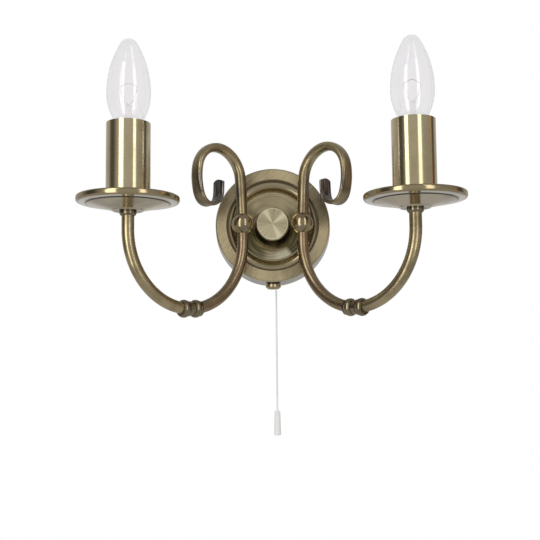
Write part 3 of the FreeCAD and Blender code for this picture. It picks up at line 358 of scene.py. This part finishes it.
world = bpy.data.worlds.new("studio")
bpy.context.scene.world = world
world.use_nodes = True
tree = world.node_tree
background = tree.nodes["Background"]
place = tree.nodes.new("ShaderNodeTexCoord")
axes = tree.nodes.new("ShaderNodeSeparateXYZ")
tree.links.new(place.outputs["Generated"], axes.inputs["Vector"])
ahead = math_node(tree, "MULTIPLY", axes.outputs["Y"], -1.0)
bearing = math_node(tree, "ARCTAN2", axes.outputs["X"], ahead)
share = remap(tree, bearing, -math.pi, math.pi, kind="LINEAR")
around = ramp(tree, share, [((degrees + 180) / 360, tone) for degrees, tone in PANORAMA])
above = remap(tree, axes.outputs["Z"], CEILING_START, CEILING_FULL)
room = mix_colours(tree, above, around, (CEILING, CEILING, CEILING))
rays = tree.nodes.new("ShaderNodeLightPath")
lit = mix_colours(tree, rays.outputs["Is Glossy Ray"], (WORLD_LEVEL, WORLD_LEVEL, WORLD_LEVEL), room)
clear = math_node(tree, "MAXIMUM", rays.outputs["Is Camera Ray"], rays.outputs["Is Transmission Ray"])
tree.links.new(mix_colours(tree, clear, lit, (1.0, 1.0, 1.0)), background.inputs["Color"])
background.inputs["Strength"].default_value = 1.0
print("bearings in the panorama:", len(PANORAMA))

# %% [markdown]
# ## The lamps
# Two tall strip lamps stand close in front, one on each side of the camera, because every ball, tube,
# sleeve and bulb in the photograph shows the same two upright highlights. The left one is nearer, stronger
# and warmer.

# %% Hang the lamps
WATTS_FOR_AREA = 4  # watts for each square metre, at a level of one


def strip_lamp(name, place, width, height, level, colour):
    """A tall lamp, turned to the light's middle; the level is how bright a mirror shows it."""
    lamp = bpy.data.lights.new(name, "AREA")
    lamp.shape = "RECTANGLE"
    lamp.size = width
    lamp.size_y = height
    lamp.energy = WATTS_FOR_AREA * width * height * level
    lamp.color = colour
    holder = bpy.data.objects.new(name, lamp)
    holder.location = place
    holder.rotation_euler = Vector((place[0], place[1], 0)).to_track_quat("Z", "Y").to_euler()
    bpy.context.scene.collection.objects.link(holder)


strip_lamp("strip_left", (-0.33, -0.56, 0.12), 0.19, 1.0, 2.2, (1.0, 0.97, 0.88))
strip_lamp("strip_right", (0.31, -0.60, 0.18), 0.15, 0.9, 1.6, (1.0, 0.98, 0.94))

# %% [markdown]
# ## Antique brass
# The brass is plated, darkened with a brown patina and brushed back, so it is golden where it was rubbed
# and brown where it was not. Three effects make it, each built once as a node group: tarnish in soft
# clouds, fine brush marks, and the radius and bearing of a turned face. The groups give out masks and
# values only, because the export can't read a shader inside a group.

# %% Group of tarnish clouds
FLOAT, VECTOR = "NodeSocketFloat", "NodeSocketVector"


def new_group(name, inputs, outputs):
    """An empty group with its two ends; an input is (name, type, default), an output (name, type)."""
    tree = bpy.data.node_groups.new(name, "ShaderNodeTree")
    for socket_name, kind, default in inputs:
        socket = tree.interface.new_socket(name=socket_name, in_out="INPUT", socket_type=kind)
        if default is not None:
            socket.default_value = default
    for socket_name, kind in outputs:
        tree.interface.new_socket(name=socket_name, in_out="OUTPUT", socket_type=kind)
    return tree, tree.nodes.new("NodeGroupInput"), tree.nodes.new("NodeGroupOutput")


clouds, enter, leave = new_group(
    "tarnish clouds",
    [("Vector", VECTOR, None), ("Scale", FLOAT, 60.0), ("Low", FLOAT, 0.4), ("High", FLOAT, 0.65)],
    [("Mask", FLOAT)])
noise = clouds.nodes.new("ShaderNodeTexNoise")
noise.inputs["Detail"].default_value = 5
noise.inputs["Roughness"].default_value = 0.6
clouds.links.new(enter.outputs["Vector"], noise.inputs["Vector"])
clouds.links.new(enter.outputs["Scale"], noise.inputs["Scale"])
spread = clouds.nodes.new("ShaderNodeMapRange")
spread.interpolation_type = "SMOOTHSTEP"
clouds.links.new(noise.outputs["Fac"], spread.inputs["Value"])
clouds.links.new(enter.outputs["Low"], spread.inputs["From Min"])
clouds.links.new(enter.outputs["High"], spread.inputs["From Max"])
clouds.links.new(spread.outputs["Result"], leave.inputs["Mask"])
print("clouds group nodes:", len(clouds.nodes))

# %% Group of brush marks
marks, enter, leave = new_group("brush marks", [("Vector", VECTOR, None), ("Stretch", VECTOR, (1, 1, 1)),
                                                ("Scale", FLOAT, 100.0)], [("Marks", FLOAT)])
stretched = marks.nodes.new("ShaderNodeVectorMath")
stretched.operation = "MULTIPLY"
marks.links.new(enter.outputs["Vector"], stretched.inputs[0])
marks.links.new(enter.outputs["Stretch"], stretched.inputs[1])
noise = marks.nodes.new("ShaderNodeTexNoise")
noise.inputs["Detail"].default_value = 3
marks.links.new(stretched.outputs["Vector"], noise.inputs["Vector"])
marks.links.new(enter.outputs["Scale"], noise.inputs["Scale"])
marks.links.new(noise.outputs["Fac"], leave.inputs["Marks"])
print("marks group nodes:", len(marks.nodes))

# %% Group of the turned face
turned, enter, leave = new_group("turned face", [("Vector", VECTOR, None)],
                                 [("Radius", FLOAT), ("Turn", FLOAT), ("Round", VECTOR)])
parts = turned.nodes.new("ShaderNodeSeparateXYZ")
turned.links.new(enter.outputs["Vector"], parts.inputs["Vector"])
flat = turned.nodes.new("ShaderNodeCombineXYZ")
turned.links.new(parts.outputs["X"], flat.inputs["X"])
turned.links.new(parts.outputs["Z"], flat.inputs["Y"])
span = turned.nodes.new("ShaderNodeVectorMath")
span.operation = "LENGTH"
turned.links.new(flat.outputs["Vector"], span.inputs[0])
turned.links.new(span.outputs["Value"], leave.inputs["Radius"])
angle = math_node(turned, "ARCTAN2", parts.outputs["Z"], parts.outputs["X"])
turned.links.new(remap(turned, angle, -math.pi, math.pi, kind="LINEAR"), leave.inputs["Turn"])
rounded = turned.nodes.new("ShaderNodeCombineXYZ")
turned.links.new(angle, rounded.inputs["X"])
turned.links.new(span.outputs["Value"], rounded.inputs["Y"])
turned.links.new(rounded.outputs["Vector"], leave.inputs["Round"])
print("groups:", [group.name for group in bpy.data.node_groups])


# %% Placing groups and bumps
def place_group(tree, group, **values):
    """Puts a group in a material; each value is a socket or a number for the input of that name."""
    node = tree.nodes.new("ShaderNodeGroup")
    node.node_tree = group
    for name, value in values.items():
        if isinstance(value, bpy.types.NodeSocket):
            tree.links.new(value, node.inputs[name])
        else:
            node.inputs[name].default_value = value
    return node.outputs


def object_place(tree, turn=(0, 0, 0)):
    """Object coordinates, turned by a Mapping node."""
    source = tree.nodes.new("ShaderNodeTexCoord")
    mapping = tree.nodes.new("ShaderNodeMapping")
    mapping.inputs["Rotation"].default_value = Euler(turn)
    tree.links.new(source.outputs["Object"], mapping.inputs["Vector"])
    return mapping.outputs["Vector"]


def add_bump(tree, shader, height, strength, distance):
    """A Bump node that feeds the shader's normal."""
    bump = tree.nodes.new("ShaderNodeBump")
    bump.inputs["Strength"].default_value = strength
    bump.inputs["Distance"].default_value = distance
    tree.links.new(height, bump.inputs["Height"])
    tree.links.new(bump.outputs["Normal"], shader.inputs["Normal"])


print("group, place and bump helpers are ready")

# %% Antique brass
RUBBED = (0.52, 0.43, 0.255)
PATINA = (0.15, 0.112, 0.068)
FINE_DEPTH = 0.00005
CLOUD_SHARE, MARK_SHARE = 0.65, 0.1


def antique_brass(name, rubbed=RUBBED, patina=PATINA, smooth_at=0.22, dull_at=0.34, stretch=(1, 1, 1),
                  mark_scale=260.0, bump=0.01):
    """Plated brass with tarnish clouds in colour and roughness, and fine marks in colour and bump."""
    material, tree, shader, _ = new_material(name)
    shader.inputs["Metallic"].default_value = 1.0
    where = object_place(tree)
    cloud = place_group(tree, clouds, Vector=where, Scale=45.0, Low=0.38, High=0.72)["Mask"]
    mark = place_group(tree, marks, Vector=where, Stretch=stretch, Scale=mark_scale)["Marks"]
    tarnish = math_node(tree, "ADD", math_node(tree, "MULTIPLY", cloud, CLOUD_SHARE),
                        math_node(tree, "MULTIPLY", mark, MARK_SHARE), clamp=True)
    tree.links.new(mix_colours(tree, tarnish, rubbed, patina), shader.inputs["Base Color"])
    tree.links.new(remap(tree, cloud, 0.0, 1.0, smooth_at, dull_at, "LINEAR"), shader.inputs["Roughness"])
    add_bump(tree, shader, mark, bump, FINE_DEPTH)
    return material


tube_brass = antique_brass("tube_brass")
print("first brass:", tube_brass.name)

# %% [markdown]
# ## The back plate
# One spun sheet shows five finishes: a satin side, a flat ring brushed on the slant with painted sheen and
# shade round it, a dark groove, a grey-brown moulded band, and a bowl that is even above and has painted
# dark reflections and a painted highlight below. Painted highlights also lie as light lines on the edges of
# the ring and the bowl. All of them are zones of one radius, so the material reads the distance from the
# plate's middle and lays its colours along it.

# %% Plate inputs
PLATE_REACH = 56.0
BOWL_EDGE = 31.2
RING_SLANT = -38
plate_brass, tree, shader, _ = new_material("plate_brass")
shader.inputs["Metallic"].default_value = 1.0
where = object_place(tree)
face = place_group(tree, turned, Vector=where)
radius_share = math_node(tree, "DIVIDE", math_node(tree, "MULTIPLY", face["Radius"], 1 / MM), PLATE_REACH)
cloud = place_group(tree, clouds, Vector=where, Scale=38.0, Low=0.35, High=0.7)["Mask"]
slanted = object_place(tree, turn=(0, math.radians(RING_SLANT), 0))
ring_marks = place_group(tree, marks, Vector=slanted, Stretch=(14, 14, 1), Scale=95.0)["Marks"]
swirl = place_group(tree, marks, Vector=face["Round"], Stretch=(1.2, 700, 1), Scale=1.0)["Marks"]


def on_plate(stops):
    """A ramp along the radius; a stop is (millimetres, tone)."""
    return ramp(tree, radius_share, [(radius / PLATE_REACH, tone) for radius, tone in stops])


def round_plate(stops):
    """A ramp round the plate; a stop is (degrees from the right, tone)."""
    return ramp(tree, face["Turn"], [((degrees + 180) / 360, tone) for degrees, tone in stops], "EASE")


print("ring brushed at degrees:", RING_SLANT)

# %% Plate zones
BOWL_TONE = (0.52, 0.43, 0.265)
BAND_TONE = (0.42, 0.345, 0.22)
# The edge tone is a painted highlight: light lines on the bowl's edge and on both edges of the ring.
EDGE_HIGHLIGHT_TONE = (0.78, 0.68, 0.46)
GROOVE_TONE = (0.13, 0.105, 0.065)
RING_TONE = (0.66, 0.55, 0.335)
SIDE_TONE = (0.25, 0.205, 0.14)
UMBER = (0.16, 0.13, 0.08)
PLATE_ZONES = [(0, BOWL_TONE), (BOWL_EDGE, BOWL_TONE), (31.8, GROOVE_TONE), (32.6, EDGE_HIGHLIGHT_TONE),
               (34.2, EDGE_HIGHLIGHT_TONE), (35.2, BAND_TONE), (39.0, BAND_TONE), (39.8, GROOVE_TONE),
               (40.6, GROOVE_TONE), (41.0, EDGE_HIGHLIGHT_TONE), (42.2, RING_TONE), (50.2, RING_TONE),
               (50.9, EDGE_HIGHLIGHT_TONE), (51.5, SIDE_TONE)]
tarnish_and_edge_highlights = mix_colours(tree, math_node(tree, "MULTIPLY", cloud, 0.3), on_plate(PLATE_ZONES), UMBER)
print("stops along the plate's radius:", len(PLATE_ZONES))

# %% Ring scratches and painted sheen
# Painted sheen and shade: sectors of the ring are darkened by bearing, and real brush scratches lie over
# them.
RING_SHADE = [(-180, 0.0), (-150, 0.15), (-120, 0.35), (-102, -0.15), (-88, 0.1), (-70, 0.5), (-52, 0.6),
              (-38, 0.3), (-22, -0.1), (-10, 0.0), (8, 0.7), (25, 0.6), (48, 0.5), (62, 0.1), (80, 0.0),
              (100, 0.2), (118, 0.55), (135, 0.6), (150, 0.3), (165, 0.0), (180, 0.0)]
on_ring = on_plate([(0, 0.0), (40.8, 0.0), (41.4, 1.0), (51.0, 1.0), (51.5, 0.0)])
scratches = remap(tree, ring_marks, 0.36, 0.64, -0.2, 0.2, "LINEAR")
shade_and_scratches = math_node(tree, "ADD", round_plate(RING_SHADE), scratches)
ring_shade_and_scratch_mask = math_node(tree, "MULTIPLY", on_ring, shade_and_scratches, clamp=True)
scratched_and_shaded_ring = mix_colours(tree, ring_shade_and_scratch_mask, tarnish_and_edge_highlights, UMBER)
print("stops round the ring:", len(RING_SHADE))

# %% Bowl strokes, painted reflections and a painted highlight
PAINTED_HIGHLIGHT_TONE = (0.86, 0.80, 0.58)
REFLECTED_OLIVE = (0.085, 0.075, 0.035)
HIGHLIGHT_LEVEL = 0.85
# Painted reflections: the bowl is darkened by bearing, most in its lower half and at its left and right,
# with the swirl strokes laid over.
DARK_REFLECTIONS = [(-180, 0.8), (-165, 1.0), (-145, 0.95), (-120, 0.8), (-96, 0.45), (-84, 0.5), (-70, 0.85),
            (-50, 1.0), (-30, 1.0), (-10, 1.0), (4, 0.8), (28, 0.6), (48, 0.2), (62, 0.08), (125, 0.08),
            (150, 0.65), (180, 0.8)]
in_bowl = on_plate([(0, 1.0), (30.4, 1.0), (BOWL_EDGE, 0.0)])
strokes = remap(tree, swirl, 0.4, 0.6, -0.22, 0.22, "LINEAR")
reflections_and_strokes = math_node(tree, "ADD", round_plate(DARK_REFLECTIONS), strokes)
painted_reflection_mask = math_node(tree, "MULTIPLY", in_bowl, reflections_and_strokes, clamp=True)
bowl_with_reflections = mix_colours(tree, painted_reflection_mask, scratched_and_shaded_ring, REFLECTED_OLIVE)
# Painted highlight: a bright patch low on the right of the bowl.
highlight_turn = round_plate([(-180, 0.0), (-112, 0.0), (-92, 0.45), (-76, 1.0), (-62, 1.0), (-52, 0.0),
                          (180, 0.0)])
highlight_span = on_plate([(0, 0.0), (21.0, 0.0), (25.0, 0.8), (29.5, 1.0), (30.8, 0.0)])
painted_highlight = math_node(tree, "MULTIPLY", math_node(tree, "MULTIPLY", highlight_turn, highlight_span), HIGHLIGHT_LEVEL)
tree.links.new(mix_colours(tree, painted_highlight, bowl_with_reflections, PAINTED_HIGHLIGHT_TONE), shader.inputs["Base Color"])
print("stops round the bowl:", len(DARK_REFLECTIONS))

# %% Plate gloss
SMOOTHEST, DULLER = 0.2, 0.07
PLATE_BUMP, PLATE_BUMP_DEPTH = 0.12, 0.00008
dulled = math_node(tree, "MULTIPLY", math_node(tree, "ADD", on_ring, cloud), DULLER)
tree.links.new(math_node(tree, "ADD", SMOOTHEST, dulled), shader.inputs["Roughness"])
lines = math_node(tree, "ADD", math_node(tree, "MULTIPLY", on_ring, ring_marks),
                  math_node(tree, "MULTIPLY", in_bowl, swirl))
add_bump(tree, shader, lines, PLATE_BUMP, PLATE_BUMP_DEPTH)
print("plate finished, reach in mm:", PLATE_REACH)

# %% [markdown]
# ## The knob
# The cap nut's face was polished outwards from the middle, so it shines in wedges; here those wedges are
# painted sheen in its colour, and its chamfer carries a painted highlight. Noise would put the wedges
# anywhere, so a ramp round the face gives each its own place, and stretched marks break up their edges.

# %% Polish the knob, with painted sheen and a painted highlight
KNOB_RADIUS = 14.6
KNOB_SHADE, KNOB_SHINE, KNOB_EDGE_HIGHLIGHT = (0.39, 0.325, 0.195), (0.88, 0.79, 0.54), (0.95, 0.89, 0.68)
KNOB_GLOSS = 0.3
# Painted sheen: bright and dark wedges round the face, by bearing.
SHEEN_WEDGES = ((-180, 0.3), (-150, 0.5), (-130, 0.35), (-104, 0.5), (-84, 0.4), (-66, 1.0), (-54, 0.9),
          (-38, 0.35), (-5, 0.2), (16, 0.4), (32, 0.95), (42, 1.0), (52, 0.4), (78, 0.15), (102, 0.3),
          (116, 0.95), (124, 0.9), (138, 0.3), (160, 0.15), (180, 0.3))
knob_brass, tree, shader, _ = new_material("knob_brass")
shader.inputs["Metallic"].default_value = 1.0
face = place_group(tree, turned, Vector=object_place(tree))
wedge_sheen = ramp(tree, face["Turn"], [((degrees + 180) / 360, tone) for degrees, tone in SHEEN_WEDGES])
rays = place_group(tree, marks, Vector=face["Round"], Stretch=(9, 8, 1), Scale=1.6)["Marks"]
sheen = math_node(tree, "ADD", wedge_sheen, remap(tree, rays, 0.35, 0.65, -0.28, 0.28, "LINEAR"), clamp=True)
sheen_colour = mix_colours(tree, sheen, KNOB_SHADE, KNOB_SHINE)
knob_share = math_node(tree, "DIVIDE", math_node(tree, "MULTIPLY", face["Radius"], 1 / MM), KNOB_RADIUS)
# Painted highlight: a bright ring on the chamfer near the face's edge.
chamfer_highlight = ramp(tree, knob_share, [(0.0, 0.0), (0.90, 0.0), (0.93, 1.0), (0.965, 1.0), (0.985, 0.0)])
tree.links.new(mix_colours(tree, chamfer_highlight, sheen_colour, KNOB_EDGE_HIGHLIGHT), shader.inputs["Base Color"])
shader.inputs["Roughness"].default_value = KNOB_GLOSS
add_bump(tree, shader, rays, 0.05, FINE_DEPTH)
print("knob radius:", KNOB_RADIUS, "wedge stops:", len(SHEEN_WEDGES))

# %% [markdown]
# ## The drip pans
# Under the rolled rim each pan shows a pale flat brim, a dark crease, a grey cone and a dark ring at its
# collar. The pale brim and the grey cone are painted reflections, and the dark crease and the dark ring at
# the
# collar are painted shade. Both pans stand at the same distance from the middle, so one material serves
# them:
# it reads the sideways distance without its sign, and measures from the candle's axis.

# %% Finish the pans
PAN_REACH = 42.0
CONE_REFLECTION_TONE, CREASE_SHADE_TONE, BRIM_REFLECTION_TONE = (0.60, 0.52, 0.38), (0.12, 0.10, 0.075), (0.74, 0.69, 0.60)
RIM_TONE = (0.42, 0.345, 0.205)
# Painted light along the radius: the pale brim and grey cone are painted reflections, the dark crease and
# the dark ring at the collar painted shade.
PAN_ZONES = ((0, CREASE_SHADE_TONE), (9.5, CREASE_SHADE_TONE), (12.5, CONE_REFLECTION_TONE), (31.6, CONE_REFLECTION_TONE),
             (32.3, CREASE_SHADE_TONE), (33.4, CREASE_SHADE_TONE), (34.2, BRIM_REFLECTION_TONE), (38.2, BRIM_REFLECTION_TONE),
             (38.9, RIM_TONE), (41.0, RIM_TONE))
candle_place = Vector((BULB_OUT, BULB_FORWARD)) * MM


def distance(tree, first, second):
    """The length of a line whose two sides are sockets."""
    squares = math_node(tree, "ADD", math_node(tree, "MULTIPLY", first, first),
                        math_node(tree, "MULTIPLY", second, second))
    return math_node(tree, "SQRT", squares)


pan_brass, tree, shader, _ = new_material("pan_brass")
shader.inputs["Metallic"].default_value = 1.0
where = object_place(tree)
parts = tree.nodes.new("ShaderNodeSeparateXYZ")
tree.links.new(where, parts.inputs["Vector"])
aside = math_node(tree, "SUBTRACT", math_node(tree, "ABSOLUTE", parts.outputs["X"]), candle_place.x)
ahead = math_node(tree, "SUBTRACT", parts.outputs["Y"], candle_place.y)
pan_share = math_node(tree, "DIVIDE", distance(tree, aside, ahead), PAN_REACH * MM)
zones = ramp(tree, pan_share, [(radius / PAN_REACH, tone) for radius, tone in PAN_ZONES])
cloud = place_group(tree, clouds, Vector=where, Scale=45.0, Low=0.4, High=0.75)["Mask"]
pan_tarnish_and_painted_light = mix_colours(tree, math_node(tree, "MULTIPLY", cloud, 0.4), zones, PATINA)
tree.links.new(pan_tarnish_and_painted_light, shader.inputs["Base Color"])
tree.links.new(remap(tree, cloud, 0.0, 1.0, 0.13, 0.26, "LINEAR"), shader.inputs["Roughness"])
add_bump(tree, shader, cloud, 0.02, FINE_DEPTH)
print("pan reach:", PAN_REACH, "stops:", len(PAN_ZONES))

# %% [markdown]
# ## The scrolls
# The hammered strip at each tip is nearly black, with bright streaks along it. The tube before it is rubbed
# gold, and darker low down, near the ball. The tip is a small place on a long piece, so the material fades
# from one finish to the other by the distance to the tip's middle.

# %% Finish the scrolls
TIP_MIDDLE = Vector((46.0, 31.0))
TIP_NEAR, TIP_FAR = 0.011, 0.02
NECK_START, NECK_FULL = 0.058, 0.034
STRIP_DARK, STRIP_STREAK = (0.085, 0.075, 0.07), (0.3, 0.275, 0.26)
scroll_brass, tree, shader, _ = new_material("scroll_brass")
shader.inputs["Metallic"].default_value = 1.0
where = object_place(tree)
parts = tree.nodes.new("ShaderNodeSeparateXYZ")
tree.links.new(where, parts.inputs["Vector"])
aside = math_node(tree, "SUBTRACT", math_node(tree, "ABSOLUTE", parts.outputs["X"]), TIP_MIDDLE.x * MM)
higher = math_node(tree, "SUBTRACT", parts.outputs["Z"], TIP_MIDDLE.y * MM)
near_tip = remap(tree, distance(tree, aside, higher), TIP_NEAR, TIP_FAR, 1.0, 0.0)
streaks = place_group(tree, marks, Vector=where, Stretch=(16, 16, 1), Scale=45.0)["Marks"]
cloud = place_group(tree, clouds, Vector=where, Scale=50.0, Low=0.38, High=0.72)["Mask"]
neck = remap(tree, parts.outputs["Z"], NECK_START, NECK_FULL)
dulled = math_node(tree, "ADD", math_node(tree, "MULTIPLY", cloud, 0.5),
                   math_node(tree, "MULTIPLY", neck, 0.45))
tube_tone = mix_colours(tree, dulled, RUBBED, PATINA)
strip_tone = mix_colours(tree, remap(tree, streaks, 0.42, 0.62), STRIP_DARK, STRIP_STREAK)
tree.links.new(mix_colours(tree, near_tip, tube_tone, strip_tone), shader.inputs["Base Color"])
tree.links.new(remap(tree, cloud, 0.0, 1.0, 0.27, 0.38, "LINEAR"), shader.inputs["Roughness"])
add_bump(tree, shader, streaks, 0.04, FINE_DEPTH)
print("strip middle:", list(TIP_MIDDLE))

# %% [markdown]
# ## Sleeves, tubes and hidden fittings
# The candle sleeves are brushed round and round: their marks are squeezed along the height, so they lie
# level. The couplings and collars are darker, the inner arms redder, and the hidden fittings are plain
# machined brass and zinc plated steel. One builder makes them all, because they differ mostly in two
# colours and in how smooth they are.

# %% Mix the metals
sleeve_brass = antique_brass("sleeve_brass", rubbed=(0.63, 0.53, 0.335), patina=(0.44, 0.365, 0.22),
                             smooth_at=0.12, dull_at=0.2, stretch=(1, 1, 60), mark_scale=50.0, bump=0.1)
dark_brass = antique_brass("dark_brass", rubbed=(0.30, 0.25, 0.165), patina=(0.10, 0.08, 0.052),
                           smooth_at=0.12, dull_at=0.24)
inner_brass = antique_brass("inner_brass", rubbed=(0.36, 0.275, 0.17), patina=(0.21, 0.145, 0.088),
                            smooth_at=0.24, dull_at=0.36)
ball_brass = antique_brass("ball_brass", rubbed=(0.44, 0.36, 0.22), patina=(0.15, 0.115, 0.07),
                           smooth_at=0.12, dull_at=0.2)
machined_brass = antique_brass("machined_brass", rubbed=(0.78, 0.62, 0.32), patina=(0.6, 0.45, 0.22),
                               smooth_at=0.22, dull_at=0.35)
zinc_steel = antique_brass("zinc_steel", rubbed=(0.62, 0.63, 0.65), patina=(0.42, 0.43, 0.45),
                           smooth_at=0.3, dull_at=0.5)
nickel_cap = antique_brass("nickel_cap", rubbed=(0.7, 0.69, 0.66), patina=(0.5, 0.48, 0.45),
                           smooth_at=0.2, dull_at=0.4)
print("materials so far:", len(bpy.data.materials))

# %% [markdown]
# ## Plastics, braid and glass
# The bob and lampholders are moulded plastic with a faint mottle, and the cord is a braid, which is the
# same thing with a finer and much stronger bump. The bulbs are clear glass: light goes through them and is
# bent by their real wall, and a trace of haze softens their reflections in patches.

# %% Mould the plastics
def plastic(name, colour, shade, roughness, scale=200.0, bump=0.05):
    """Moulded plastic with a faint mottle and a fine orange peel."""
    material, tree, shader, _ = new_material(name)
    where = object_place(tree)
    cloud = place_group(tree, clouds, Vector=where, Scale=scale, Low=0.3, High=0.8)["Mask"]
    tree.links.new(mix_colours(tree, cloud, colour, shade), shader.inputs["Base Color"])
    shader.inputs["Roughness"].default_value = roughness
    add_bump(tree, shader, cloud, bump, FINE_DEPTH)
    return material


white_plastic = plastic("white_plastic", (0.87, 0.88, 0.88), (0.82, 0.83, 0.83), 0.3)
black_plastic = plastic("black_plastic", (0.03, 0.03, 0.03), (0.05, 0.05, 0.05), 0.45)
sheath = plastic("flex_sheath", (0.72, 0.69, 0.6), (0.62, 0.59, 0.5), 0.45)
braid = plastic("cord_braid", (0.86, 0.87, 0.87), (0.76, 0.77, 0.77), 0.7, scale=2200.0, bump=0.5)
print("plastics:", [stuff.name for stuff in (white_plastic, black_plastic, sheath, braid)])

# %% Melt the glass
GLASS_TINT = (0.905, 0.897, 0.905, 1)
GLASS_BENDING = 1.46
GLASS_HAZE = 0.03
clear_glass, tree, shader, _ = new_material("clear_glass")
shader.inputs["Base Color"].default_value = GLASS_TINT
shader.inputs["Transmission Weight"].default_value = 1.0
shader.inputs["IOR"].default_value = GLASS_BENDING
where = object_place(tree)
haze = place_group(tree, clouds, Vector=where, Scale=90.0, Low=0.45, High=0.8)["Mask"]
tree.links.new(remap(tree, haze, 0.0, 1.0, 0.0, GLASS_HAZE, "LINEAR"), shader.inputs["Roughness"])
filament_wire = antique_brass("filament_wire", rubbed=(0.8, 0.76, 0.74), patina=(0.7, 0.62, 0.58),
                              smooth_at=0.35, dull_at=0.5)
print("materials:", len(bpy.data.materials))

# %% [markdown]
# ## Finishes on their pieces
# Each piece from the frame gets its finish by its own material slot, and its mesh stays as it is. The
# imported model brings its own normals, so round faces already shade smoothly and edges stay sharp. A name
# without its left or right finds the finish of both.

# %% Assign the materials
FINISHES = {
    "back_plate": plate_brass, "centre_knob": knob_brass, "switch_ferrule": tube_brass,
    "wall_bracket": zinc_steel, "bracket_stud": zinc_steel, "stud_nut": zinc_steel,
    "earth_screw": machined_brass, "terminal_block": white_plastic, "terminal_screws": zinc_steel,
    "switch_housing": black_plastic, "switch_lock_nut": zinc_steel, "switch_plunger": white_plastic,
    "pull_cord": braid, "cord_bob": white_plastic, "cord_knot": braid, "stem_washers": machined_brass,
    "stem_nuts": machined_brass, "pan_nuts": machined_brass, "switch_flex": sheath,
    "ball": ball_brass, "stem": machined_brass, "spacer": tube_brass, "scroll": scroll_brass,
    "inner_arm": inner_brass, "outer_arm": tube_brass, "coupling": dark_brass, "collar": dark_brass,
    "pan": pan_brass, "candle_sleeve": sleeve_brass, "holder_stem": machined_brass,
    "lampholder": white_plastic, "holder_shell": machined_brass, "holder_contact": machined_brass,
    "bulb_glass": clear_glass, "bulb_cap": nickel_cap, "bulb_mount": clear_glass,
    "filament": filament_wire, "arm_flex": sheath,
}
for name, node in nodes.items():
    finish = FINISHES.get(name) or FINISHES[name.rsplit("_", 1)[0]]
    if not node.material_slots:
        node.data.materials.append(finish)
    for slot in node.material_slots:
        slot.material = finish
cord.data.materials.append(braid)
for envelope in envelopes:
    envelope.data.materials.append(clear_glass)
print("pieces finished:", len(nodes) + 1 + len(envelopes))
